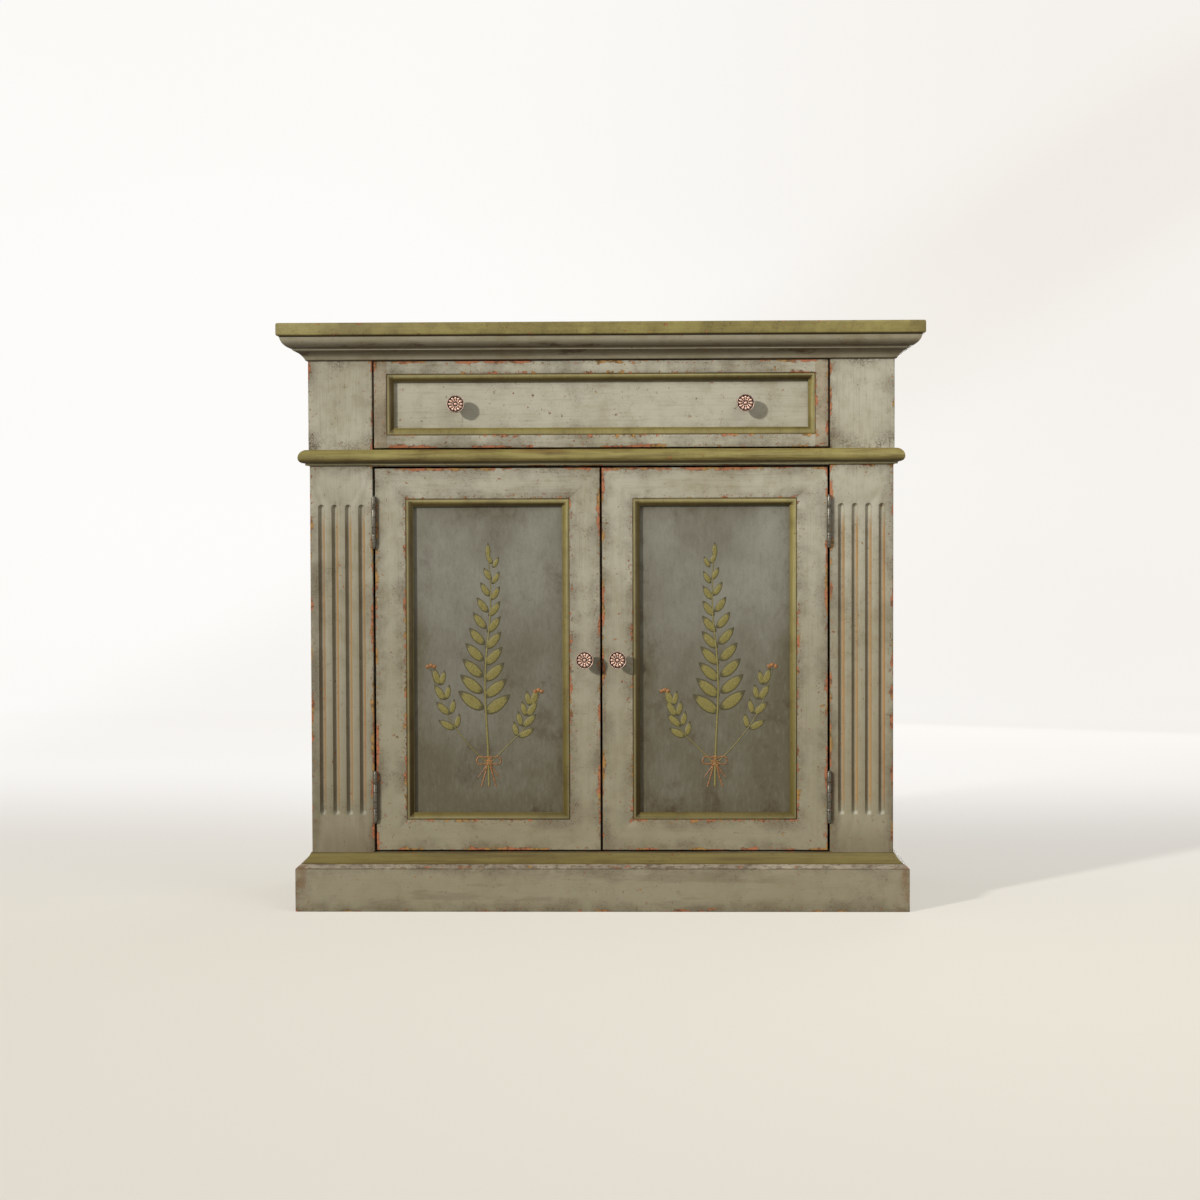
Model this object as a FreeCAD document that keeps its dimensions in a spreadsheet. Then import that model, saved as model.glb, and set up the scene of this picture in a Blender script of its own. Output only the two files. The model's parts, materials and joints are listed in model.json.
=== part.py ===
import FreeCAD, Part

import math
import os

import Sketcher

# A painted sideboard: one full-width drawer over a pair of framed doors,
# between fluted pilasters, on a plinth. X runs to the right seen from the front,
# the front faces -Y, Z is up, and the floor is at zero. Lengths are in millimetres.

SIZES = {
    "tabletop_width": 1000,
    "tabletop_depth": 405,
    "tabletop_thick": 20,
    "tabletop_round": 3,
    "tabletop_back_lip": 3,
    "overhang": 43.3,
    "total_height": 915,
    "board_thick": 18,
    "frieze_step": 1.8,
    "back_thick": 6,
    "back_rebate_deep": 8,
    "back_rebate_wide": 9,
    "pilaster_width": 98.4,
    "arris": 1,
    "flute_width": 10.4,
    "flute_depth": 4,
    "flute_pitch": 21,
    "flute_foot": 58,
    "flute_head": 61,
    "plinth_height": 73.5,
    "plinth_projection": 23.4,
    "plinth_bevel_deep": 8,
    "plinth_bevel_high": 6.5,
    "cap_height": 16.7,
    "cap_projection": 15,
    "cap_land": 1.5,
    "cap_sweep": 42,
    "belt_nose_high": 20.5,
    "belt_nose_drop": 13,
    "belt_projection": 15,
    "belt_lower_curve": 8,
    "belt_strip_high": 3.8,
    "belt_strip_projection": 4.5,
    "cornice_height": 35.5,
    "cornice_projection": 38.5,
    "cornice_lip": 1.5,
    "cornice_ovolo_deep": 14,
    "cornice_ovolo_high": 16,
    "cornice_ovolo_radius": 20,
    "cornice_fillet_deep": 3.5,
    "cornice_fillet_high": 3,
    "cornice_land": 3,
    "cornice_cove_radius": 30,
    "top_rail_high": 34.4,
    "middle_rail_high": 26.2,
    "back_rail_high": 60,
    "dust_panel_thick": 12,
    "dust_panel_drop": 5,
    "drawer_front_high": 134.7,
    "drawer_gap": 2.6,
    "drawer_front_thick": 20,
    "drawer_border": 20,
    "drawer_recess": 8,
    "drawer_side_thick": 12,
    "drawer_side_high": 100,
    "drawer_side_lift": 6,
    "drawer_bottom_thick": 5,
    "drawer_bottom_lift": 8,
    "drawer_groove_deep": 5,
    "drawer_back_space": 30,
    "guide_height": 90,
    "guide_inset": 11,
    "runner_high": 10,
    "runner_projection": 6,
    "runner_play": 0.3,
    "side_play": 0.8,
    "door_gap": 3,
    "hinge_gap": 3.4,
    "door_thick": 20,
    "frame_behind_door": 2,
    "door_frame_wide": 48,
    "panel_recess": 8,
    "panel_thick": 6,
    "panel_rebate": 8,
    "panel_play": 0.5,
    "sunk_moulding_wide": 11,
    "sunk_moulding_quirk": 0.8,
    "sunk_moulding_lip": 2.4,
    "sunk_moulding_radius": 10.5,
    "hinge_inset": 84,
    "hinge_long": 76,
    "hinge_middle_long": 38,
    "hinge_barrel_radius": 3.3,
    "hinge_leaf_thick": 1.3,
    "hinge_leaf_wide": 18,
    "hinge_pin_radius": 1.95,
    "hinge_tip_high": 3,
    "hinge_fit": 0.05,
    "hinge_clearance": 0.3,
    "knob_radius": 13.6,
    "knob_projection": 25,
    "knob_neck_radius": 5.5,
    "knob_neck_high": 10,
    "knob_rim_wide": 1.2,
    "knob_rim_high": 2.6,
    "knob_dish_deep": 1.8,
    "knob_bead_radius": 2.6,
    "knob_bead_high": 1,
    "knob_petal_wide": 4.8,
    "drawer_knob_offset": 225,
    "shelf_thick": 16,
    "shelf_height": 285,
    "shelf_front_space": 20,
    "shelf_end_play": 1,
    "cleat_thick": 15,
    "cleat_high": 22,
    "cleat_front_space": 25,
    "catch_wide": 34,
    "catch_high": 30,
    "catch_deep": 14,
    "catch_offset": 40,
    "strike_wide": 26,
    "strike_high": 14,
    "strike_thick": 1.2,
    "overrun": 2,
}
FLUTES = 4
PETALS = 12
PETAL_SHOULDER_SHARE = 0.7
PETAL_TIP_SHARE = 0.55
NEAR_SHARE = 0.99
SAME_LEVEL = 0.000001
SIDES = {"left": -1, "right": 1}

doc = FreeCAD.newDocument("Sideboard")
sheet = doc.addObject("Spreadsheet::Sheet", "Sizes")
for row, (alias, number) in enumerate(SIZES.items(), start=1):
    sheet.set(f"A{row}", alias)
    sheet.set(f"B{row}", str(number))
    sheet.setAlias(f"B{row}", alias)
doc.recompute()


class Size:
    """A length written as a formula on the sheet's cells, so that a binding stays live."""

    def __init__(self, formula):
        self.formula = str(formula)

    def __str__(self):
        return self.formula

    def __add__(self, other):
        return Size(f"({self} + {other})")

    def __sub__(self, other):
        return Size(f"({self} - {other})")

    def __mul__(self, other):
        return Size(f"({self} * {other})")

    def __truediv__(self, other):
        return Size(f"({self} / {other})")

    def __neg__(self):
        return Size(f"(0 - {self})")

    @property
    def value(self):
        return float(sheet.evalExpression(self.formula))


class Sheet:
    """Every cell of the sheet by its alias."""

    def __getattr__(self, alias):
        return Size(f"Sizes.{alias}")


S = Sheet()
ZERO = Size("0")

# The faces and edges that the pieces share.
FRONT = S.overhang - S.tabletop_depth / 2
BACK = S.tabletop_depth / 2 - S.tabletop_back_lip
BACK_PANEL_FRONT = BACK - S.back_rebate_deep
FRIEZE_HALF = S.tabletop_width / 2 - S.overhang
CASE_HALF = FRIEZE_HALF - S.frieze_step
INSIDE_HALF = CASE_HALF - S.board_thick
OPENING_HALF = CASE_HALF - S.pilaster_width
DOOR_BACK = FRONT + S.door_thick
FRAME_BACK = DOOR_BACK + S.frame_behind_door
FRAME_THICK = S.door_thick + S.frame_behind_door
TOP_UNDERSIDE = S.total_height - S.tabletop_thick
TOP_RAIL_LOW = TOP_UNDERSIDE - S.top_rail_high
DRAWER_TOP = TOP_RAIL_LOW - S.drawer_gap
DRAWER_LOW = DRAWER_TOP - S.drawer_front_high
MIDDLE_RAIL_TOP = DRAWER_LOW - S.drawer_gap
MIDDLE_RAIL_LOW = MIDDLE_RAIL_TOP - S.middle_rail_high
BELT_LOW = MIDDLE_RAIL_TOP - S.belt_nose_high - S.belt_strip_high
FLOOR_TOP = S.plinth_height + S.cap_height
FLOOR_LOW = FLOOR_TOP - S.board_thick
DOOR_LOW = FLOOR_TOP + S.door_gap
DOOR_TOP = MIDDLE_RAIL_LOW - S.door_gap
DOOR_OUTER = OPENING_HALF - S.hinge_gap
DOOR_INNER = S.door_gap / 2
DUST_TOP = MIDDLE_RAIL_TOP - S.dust_panel_drop
DUST_LOW = DUST_TOP - S.dust_panel_thick
DRAWER_HALF = OPENING_HALF - S.drawer_gap
DRAWER_FRONT_BACK = FRONT + S.drawer_front_thick
DRAWER_BOX_BACK = BACK_PANEL_FRONT - S.drawer_back_space
DRAWER_SIDE_LOW = DRAWER_LOW + S.drawer_side_lift
GUIDE_INNER = OPENING_HALF - S.guide_inset
DRAWER_SIDE_OUTER = GUIDE_INNER - S.side_play
DRAWER_SIDE_INNER = DRAWER_SIDE_OUTER - S.drawer_side_thick
RUNNER_LOW = DRAWER_SIDE_LOW + S.drawer_side_high / 2
HINGE_AXIS_X = OPENING_HALF - S.hinge_gap / 2
HINGE_AXIS_Y = FRONT - S.hinge_barrel_radius
SHELF_LOW = FLOOR_TOP + S.shelf_height
SHELF_FRONT = DOOR_BACK + S.shelf_front_space
SHELF_HALF = INSIDE_HALF - S.shelf_end_play

UPRIGHT = FreeCAD.Rotation()
TO_FRONT = FreeCAD.Rotation(FreeCAD.Vector(0, 0, 1), 180)
TO_RIGHT = FreeCAD.Rotation(FreeCAD.Vector(0, 0, 1), -90)
TO_LEFT = FreeCAD.Rotation(FreeCAD.Vector(0, 0, 1), 90)
FACING = FreeCAD.Rotation(FreeCAD.Vector(1, 0, 0), 90)
SOLIDS = {}


def keep(label, piece):
    """Names a finished sub-part and lists it for export."""
    piece.Label = label
    SOLIDS[label] = piece
    return piece


def place(piece, spot, rotation=UPRIGHT):
    """Turns a piece and ties its place to the sheet."""
    piece.Placement = FreeCAD.Placement(FreeCAD.Vector(), rotation)
    for axis, size in zip("xyz", spot):
        piece.setExpression(f"Placement.Base.{axis}", str(size))
    return piece


def bind(piece, **sizes):
    """Ties properties of an object to the sheet."""
    for name, size in sizes.items():
        piece.setExpression(name, str(size))
    return piece


def mirrored(side, low, high):
    """The stretch from low to high on the right, or its mirror image on the left."""
    return (low, high) if side > 0 else (-high, -low)


def box(name, across, deep, high):
    """A plain block between two places on each axis."""
    piece = doc.addObject("Part::Box", name)
    bind(
        piece,
        Length=across[1] - across[0],
        Width=deep[1] - deep[0],
        Height=high[1] - high[0],
    )
    return place(piece, (across[0], deep[0], high[0]))


def rod(name, radius, spot, long, rotation=UPRIGHT):
    """A round bar that starts at a spot and runs along its own turned Z axis."""
    piece = doc.addObject("Part::Cylinder", name)
    bind(piece, Radius=radius, Height=long)
    return place(piece, spot, rotation)


def fuse(name, pieces):
    joined = doc.addObject("Part::MultiFuse", name)
    joined.Shapes = pieces
    joined.Refine = True
    return joined


def cut(name, base, tools):
    """Takes one or more tools out of a base."""
    tool = tools[0] if len(tools) == 1 else fuse(name + "_cutters", tools)
    left = doc.addObject("Part::Cut", name)
    left.Base = base
    left.Tool = tool
    return left


def group(name, pieces):
    """Several separate solids that share one sub-part."""
    together = doc.addObject("Part::Compound", name)
    together.Links = pieces
    return together


def new_body(name):
    return doc.addObject("PartDesign::Body", name)


def origin_part(body, role):
    """An origin plane or axis of the body itself."""
    return next(part for part in body.Origin.OriginFeatures if part.Role == role)


def arc_between(first, last, radius, turn):
    """The short arc of a radius between two points, and which of its ends comes first."""
    chord = last - first
    rise = math.sqrt(max(radius**2 - (chord.Length / 2) ** 2, 0))
    left = FreeCAD.Vector(-chord.y, chord.x, 0).normalize()
    centre = (first + last) / 2 + left * rise * turn
    start, end = (first, last) if turn > 0 else (last, first)
    angles = [math.atan2(p.y - centre.y, p.x - centre.x) for p in (start, end)]
    if angles[1] < angles[0]:
        angles[1] += 2 * math.pi
    circle = Part.Circle(centre, FreeCAD.Vector(0, 0, 1), radius)
    return Part.ArcOfCircle(circle, *angles), (1, 2) if turn > 0 else (2, 1)


def outline(body, name, plane, corners, lift=None, shift=None):
    """Sketches a closed outline whose every corner and curve is tied to the sheet.

    A corner is (x, y), or (x, y, radius, turn) where the side that leaves it is an
    arc: turn is 1 for an arc that runs counter-clockwise and -1 for the other way.
    Lift moves the sketch off its plane, and shift moves it along its own X.
    """
    sketch = body.newObject("Sketcher::SketchObject", name)
    sketch.AttachmentSupport = [(origin_part(body, plane), "")]
    sketch.MapMode = "FlatFace"
    for axis, size in (("z", lift), ("x", shift)):
        if size is not None:
            sketch.setExpression(f"AttachmentOffset.Base.{axis}", str(size))
    spots = [FreeCAD.Vector(c[0].value, c[1].value, 0) for c in corners]
    ends = []
    for index, corner in enumerate(corners):
        first, last = spots[index], spots[(index + 1) % len(spots)]
        if len(corner) == 2:
            sketch.addGeometry(Part.LineSegment(first, last))
            ends.append((1, 2))
        else:
            arc, order = arc_between(first, last, corner[2].value, corner[3])
            sketch.addGeometry(arc)
            ends.append(order)
    for index, corner in enumerate(corners):
        follower = (index + 1) % len(corners)
        sketch.addConstraint(
            Sketcher.Constraint("Coincident", index, ends[index][1], follower, ends[follower][0])
        )
        for kind, size, number in (
            ("DistanceX", corner[0], spots[index].x),
            ("DistanceY", corner[1], spots[index].y),
        ):
            held = sketch.addConstraint(
                Sketcher.Constraint(kind, -1, 1, index, ends[index][0], number)
            )
            sketch.setExpression(f"Constraints[{held}]", str(size))
        if len(corner) > 2:
            held = sketch.addConstraint(Sketcher.Constraint("Radius", index, corner[2].value))
            sketch.setExpression(f"Constraints[{held}]", str(corner[2]))
    return sketch


def pad(body, name, sketch, long):
    solid = body.newObject("PartDesign::Pad", name)
    solid.Profile = sketch
    return bind(solid, Length=long)


def pocket_through(body, name, sketch):
    """Cuts a sketched shape right through the body, both ways from its plane."""
    hollow = body.newObject("PartDesign::Pocket", name)
    hollow.Profile = sketch
    hollow.Type = "ThroughAll"
    hollow.Midplane = True
    return hollow


def rectangle(x_low, y_low, x_high, y_high):
    return [(x_low, y_low), (x_high, y_low), (x_high, y_high), (x_low, y_high)]


def mitred_length(name, profile, wide, long, slope, start, end):
    """A moulded length along its own X axis, with its profile in Y and Z.

    The mitres open out as Y grows where slope is -1, and close in where it is 1.
    Start and end say which ends are mitred: the others are sawn square.
    """
    body = new_body(name)
    reach = wide if slope < 0 else ZERO
    low = -reach if start else ZERO
    high = long + reach if end else long
    sketch = outline(body, name + "_profile", "YZ_Plane", profile, low)
    pad(body, name + "_run", sketch, high - low)
    clear = wide + S.overrun
    far = wide + S.overrun * 2
    for mitred, foot, way, tag in ((start, ZERO, 1, "start"), (end, long, -1, "end")):
        if not mitred:
            continue
        waste = [
            (foot - S.overrun * slope * way, -S.overrun),
            (foot + clear * slope * way, clear),
            (foot - far * way, clear),
            (foot - far * way, -S.overrun),
        ]
        saw = outline(body, f"{name}_{tag}_mitre", "XY_Plane", waste)
        pocket_through(body, f"{name}_{tag}_cut", saw)
    return body


def wrap_around(label, profile, wide, half, height):
    """A moulding on the front and both ends of the case, mitred at the front corners."""
    deep = BACK - FRONT
    runs = (
        ("right", (half, BACK, height), TO_RIGHT, deep, False, True),
        ("front", (half, FRONT, height), TO_FRONT, half * 2, True, True),
        ("left", (-half, FRONT, height), TO_LEFT, deep, True, False),
    )
    for where, spot, turned, long, start, end in runs:
        name = f"{label}_{where}"
        body = mitred_length(name, profile, wide, long, -1, start, end)
        keep(name, place(body, spot, turned))


def mitred_frame(name, profile, wide, left, right, low, high, rear):
    """Four mitred lengths round a rectangle, their backs on the rear plane.

    They come bottom, right, top and left, each with its profile running inwards.
    """
    corners = ((left, low), (right, low), (right, high), (left, high))
    lengths = (right - left, high - low) * 2
    pieces = []
    for index, ((x, z), long) in enumerate(zip(corners, lengths)):
        turned = FreeCAD.Rotation(FreeCAD.Vector(0, 1, 0), -90 * index) * FACING
        body = mitred_length(f"{name}_{index + 1}", profile, wide, long, 1, True, True)
        pieces.append(place(body, (x, rear, z), turned))
    return pieces


def level_edges(shape, height, keep_edge):
    """Names of the edges that lie in one level plane and pass a test on their middle."""
    found = []
    for number, edge in enumerate(shape.Edges, start=1):
        heights = [vertex.Z for vertex in edge.Vertexes]
        if all(math.isclose(z, height, abs_tol=SAME_LEVEL) for z in heights):
            if keep_edge(edge.CenterOfMass):
                found.append(f"Edge{number}")
    return found


def round_over(body, name, base, edges, radius):
    rounded = body.newObject("PartDesign::Fillet", name)
    rounded.Base = (base, edges)
    return bind(rounded, Radius=radius)


def make_tabletop():
    """A thick board, rounded over along its front and its ends."""
    body = new_body("tabletop")
    half = S.tabletop_width / 2
    deep = S.tabletop_depth / 2
    plan = outline(body, "tabletop_plan", "XY_Plane", rectangle(-half, -deep, half, deep))
    slab = pad(body, "tabletop_slab", plan, S.tabletop_thick)
    doc.recompute()
    edges = []
    for height in (0, S.tabletop_thick.value):
        edges += level_edges(slab.Shape, height, lambda middle: middle.y < deep.value * NEAR_SHARE)
    round_over(body, "tabletop_edge", slab, edges, S.tabletop_round)
    keep("tabletop", place(body, (ZERO, ZERO, TOP_UNDERSIDE)))


def make_side_panels():
    """End boards, a step thicker above the belt and rebated for the back."""
    for where, side in SIDES.items():
        label = f"side_panel_{where}"
        body = new_body(label)
        section = [
            (ZERO, ZERO),
            (S.board_thick, ZERO),
            (S.board_thick, BELT_LOW),
            (S.board_thick + S.frieze_step, BELT_LOW),
            (S.board_thick + S.frieze_step, TOP_UNDERSIDE),
            (ZERO, TOP_UNDERSIDE),
        ]
        if side < 0:
            section = [(-x, z) for x, z in reversed(section)]
        end_view = outline(body, label + "_section", "XZ_Plane", section, -BACK)
        pad(body, label + "_board", end_view, BACK - FRAME_BACK)
        across = mirrored(side, -S.overrun, S.back_rebate_wide)
        deep = (BACK_PANEL_FRONT, BACK + S.overrun)
        rebate = rectangle(across[0], deep[0], across[1], deep[1])
        pocket_through(body, label + "_rebate", outline(body, label + "_corner", "XY_Plane", rebate))
        keep(label, place(body, (INSIDE_HALF * side, ZERO, ZERO)))


def make_case_boards():
    """The flat boards inside the case and behind its front."""
    inside = (-INSIDE_HALF, INSIDE_HALF)
    opening = (-OPENING_HALF, OPENING_HALF)
    behind_frame = (FRAME_BACK, BACK_PANEL_FRONT)
    in_frame = (FRONT, FRAME_BACK)
    back_half = INSIDE_HALF + S.back_rebate_wide - S.panel_play
    boards = {
        "bottom_panel": (inside, behind_frame, (FLOOR_LOW, FLOOR_TOP)),
        "bottom_rail": (opening, in_frame, (ZERO, FLOOR_TOP)),
        "middle_rail": (opening, in_frame, (MIDDLE_RAIL_LOW, MIDDLE_RAIL_TOP)),
        "top_rail": (opening, in_frame, (TOP_RAIL_LOW, TOP_UNDERSIDE)),
        "dust_panel": (inside, behind_frame, (DUST_LOW, DUST_TOP)),
        "back_rail": (
            inside,
            (BACK_PANEL_FRONT - S.board_thick, BACK_PANEL_FRONT),
            (TOP_UNDERSIDE - S.back_rail_high, TOP_UNDERSIDE),
        ),
        "back_panel": (
            (-back_half, back_half),
            (BACK_PANEL_FRONT, BACK_PANEL_FRONT + S.back_thick),
            (FLOOR_LOW, TOP_UNDERSIDE),
        ),
        "shelf": (
            (-SHELF_HALF, SHELF_HALF),
            (SHELF_FRONT, BACK_PANEL_FRONT - S.shelf_end_play),
            (SHELF_LOW, SHELF_LOW + S.shelf_thick),
        ),
    }
    for label, (across, deep, high) in boards.items():
        keep(label, box(label, across, deep, high))


def make_shelf_cleats():
    """Two battens on the end boards that carry the shelf."""
    cleats = []
    for where, side in SIDES.items():
        across = mirrored(side, INSIDE_HALF - S.cleat_thick, INSIDE_HALF)
        deep = (SHELF_FRONT + S.cleat_front_space, BACK_PANEL_FRONT)
        cleats.append(box(f"cleat_{where}", across, deep, (SHELF_LOW - S.cleat_high, SHELF_LOW)))
    keep("shelf_cleats", group("shelf_cleats", cleats))


def eased_front_plan(half, thick):
    """The plan of an upright board whose two front arrises are eased."""
    return [
        (-half, thick),
        (-half, S.arris),
        (S.arris - half, ZERO),
        (half - S.arris, ZERO),
        (half, S.arris),
        (half, thick),
    ]


def make_pilasters():
    """Flat uprights with a row of round-bottomed flutes that stop short of both ends."""
    half = S.pilaster_width / 2
    half_chord = S.flute_width / 2
    radius = (half_chord * half_chord / S.flute_depth + S.flute_depth) / 2
    for where, side in SIDES.items():
        label = f"pilaster_{where}"
        body = new_body(label)
        plan = outline(body, label + "_plan", "XY_Plane", eased_front_plan(half, FRAME_THICK))
        board = pad(body, label + "_board", plan, BELT_LOW)
        past_face = radius - S.flute_depth
        beyond_end = radius - S.flute_width / 2
        low = FLOOR_TOP + S.flute_foot - beyond_end
        high = BELT_LOW - S.flute_head + beyond_end
        half_flute = [
            (ZERO, low, radius, 1),
            (radius, low + radius),
            (radius, high - radius, radius, 1),
            (ZERO, high),
        ]
        first = -S.flute_pitch * (FLUTES - 1) / 2
        cutter = outline(body, label + "_flute_half", "YZ_Plane", half_flute, first, -past_face)
        flute = body.newObject("PartDesign::Groove", label + "_flute")
        flute.Profile = cutter
        flute.ReferenceAxis = (cutter, ["V_Axis"])
        doc.recompute()
        row = body.newObject("PartDesign::LinearPattern", label + "_flutes")
        row.Originals = [flute]
        row.Direction = (origin_part(body, "X_Axis"), [""])
        row.Occurrences = FLUTES
        bind(row, Length=S.flute_pitch * (FLUTES - 1))
        body.Tip = row
        doc.recompute()
        assert row.Shape.Volume < board.Shape.Volume
        keep(label, place(body, ((CASE_HALF - half) * side, FRONT, ZERO)))


def make_frieze_blocks():
    """Plain blocks beside the drawer, a step wider than the pilasters under them."""
    half = (FRIEZE_HALF - OPENING_HALF) / 2
    for where, side in SIDES.items():
        label = f"frieze_block_{where}"
        body = new_body(label)
        plan = outline(body, label + "_plan", "XY_Plane", eased_front_plan(half, FRAME_THICK))
        pad(body, label + "_board", plan, TOP_UNDERSIDE - BELT_LOW)
        keep(label, place(body, ((FRIEZE_HALF - half) * side, FRONT, BELT_LOW)))


def make_outer_mouldings():
    """Plinth, cap, belt and cornice, each in three mitred lengths."""
    bevel = S.plinth_height - S.plinth_bevel_high
    plinth = [
        (ZERO, ZERO),
        (S.plinth_projection, ZERO),
        (S.plinth_projection, bevel),
        (S.plinth_projection - S.plinth_bevel_deep, S.plinth_height),
        (ZERO, S.plinth_height),
    ]
    wrap_around("plinth", plinth, S.plinth_projection, CASE_HALF, ZERO)
    cap = [
        (ZERO, ZERO),
        (S.cap_projection, ZERO, S.cap_sweep, -1),
        (S.cap_land, S.cap_height),
        (ZERO, S.cap_height),
    ]
    wrap_around("cap", cap, S.cap_projection, CASE_HALF, S.plinth_height)
    nose_tip = S.belt_strip_high + S.belt_nose_high - S.belt_nose_drop
    belt = [
        (ZERO, ZERO),
        (S.belt_strip_projection, ZERO),
        (S.belt_strip_projection, S.belt_strip_high, S.belt_lower_curve, 1),
        (S.belt_projection, nose_tip, S.belt_nose_drop, 1),
        (S.belt_projection - S.belt_nose_drop, S.belt_strip_high + S.belt_nose_high),
        (ZERO, S.belt_strip_high + S.belt_nose_high),
    ]
    wrap_around("belt", belt, S.belt_projection, FRIEZE_HALF, BELT_LOW)
    ovolo_foot = S.cornice_height - S.cornice_lip - S.cornice_ovolo_high
    cove_head = S.cornice_projection - S.cornice_ovolo_deep - S.cornice_fillet_deep
    cornice = [
        (ZERO, ZERO),
        (S.cornice_land, ZERO, S.cornice_cove_radius, -1),
        (cove_head, ovolo_foot - S.cornice_fillet_high),
        (cove_head, ovolo_foot),
        (S.cornice_projection - S.cornice_ovolo_deep, ovolo_foot, S.cornice_ovolo_radius, 1),
        (S.cornice_projection, S.cornice_height - S.cornice_lip),
        (S.cornice_projection, S.cornice_height),
        (ZERO, S.cornice_height),
    ]
    low = TOP_UNDERSIDE - S.cornice_height
    wrap_around("cornice", cornice, S.cornice_projection, FRIEZE_HALF, low)


def sunk_moulding(name, recess, left, right, low, high):
    """Four mitred strips that step from a frame's face down to the panel inside it."""
    top = recess - S.sunk_moulding_quirk
    lip = recess - S.sunk_moulding_lip
    profile = [
        (ZERO, ZERO),
        (S.sunk_moulding_wide, ZERO),
        (S.sunk_moulding_wide, lip, S.sunk_moulding_radius, 1),
        (S.sunk_moulding_quirk, top),
        (ZERO, top),
    ]
    strips = mitred_frame(
        name, profile, S.sunk_moulding_wide, left, right, low, high, FRONT + recess
    )
    return keep(name, group(name, strips))


def make_knob(label, spot):
    """A cast rosette knob: a waisted stem, a rimmed head and petals round a centre bead."""
    body = new_body(label)
    face = S.knob_projection - S.knob_bead_high
    floor = face - S.knob_dish_deep
    rim_inner = S.knob_radius - S.knob_rim_wide
    half_section = [
        (ZERO, ZERO),
        (S.knob_neck_radius, ZERO),
        (S.knob_neck_radius, S.knob_neck_high),
        (S.knob_radius, face - S.knob_rim_high),
        (S.knob_radius, face),
        (rim_inner, face),
        (rim_inner, floor),
        (S.knob_bead_radius, floor),
        (S.knob_bead_radius, S.knob_projection),
        (ZERO, S.knob_projection),
    ]
    sketch = outline(body, label + "_half", "XZ_Plane", half_section)
    turned = body.newObject("PartDesign::Revolution", label + "_turned")
    turned.Profile = sketch
    turned.ReferenceAxis = (sketch, ["V_Axis"])
    half_wide = S.knob_petal_wide / 2
    start = S.knob_bead_radius / 2
    reach = rim_inner + S.knob_rim_wide / 2 - start
    petal_outline = [
        (start, ZERO),
        (start + reach * PETAL_SHOULDER_SHARE, -half_wide),
        (start + reach, -half_wide * PETAL_TIP_SHARE),
        (start + reach, half_wide * PETAL_TIP_SHARE),
        (start + reach * PETAL_SHOULDER_SHARE, half_wide),
    ]
    petal_sketch = outline(body, label + "_petal_outline", "XY_Plane", petal_outline, floor)
    petal = pad(body, label + "_petal", petal_sketch, S.knob_dish_deep)
    doc.recompute()
    ring = body.newObject("PartDesign::PolarPattern", label + "_petals")
    ring.Originals = [petal]
    ring.Axis = (origin_part(body, "Z_Axis"), [""])
    ring.Occurrences = PETALS
    body.Tip = ring
    doc.recompute()
    assert ring.Shape.Volume > turned.Shape.Volume
    keep(label, place(body, spot, FACING))


def make_drawer():
    """An inset front with a sunk panel on a grooved box that runs on the guides."""
    body = new_body("drawer_front")
    plan = eased_front_plan(DRAWER_HALF, S.drawer_front_thick)
    slab = pad(body, "drawer_slab", outline(body, "drawer_plan", "XY_Plane", plan), S.drawer_front_high)
    inner = DRAWER_HALF - S.drawer_border
    window = rectangle(-inner, S.drawer_border, inner, S.drawer_front_high - S.drawer_border)
    sunk = body.newObject("PartDesign::Pocket", "drawer_recess")
    sunk.Profile = outline(body, "drawer_window", "XZ_Plane", window)
    bind(sunk, Length=S.drawer_recess)
    doc.recompute()
    assert sunk.Shape.Volume < slab.Shape.Volume
    keep("drawer_front", place(body, (ZERO, FRONT, DRAWER_LOW)))
    middle = (DRAWER_LOW + DRAWER_TOP) / 2
    for where, side in SIDES.items():
        spot = (S.drawer_knob_offset * side, FRONT + S.drawer_recess, middle)
        make_knob(f"drawer_knob_{where}", spot)
    sunk_moulding(
        "drawer_moulding",
        S.drawer_recess,
        -inner,
        inner,
        DRAWER_LOW + S.drawer_border,
        DRAWER_TOP - S.drawer_border,
    )
    make_drawer_box()


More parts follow.
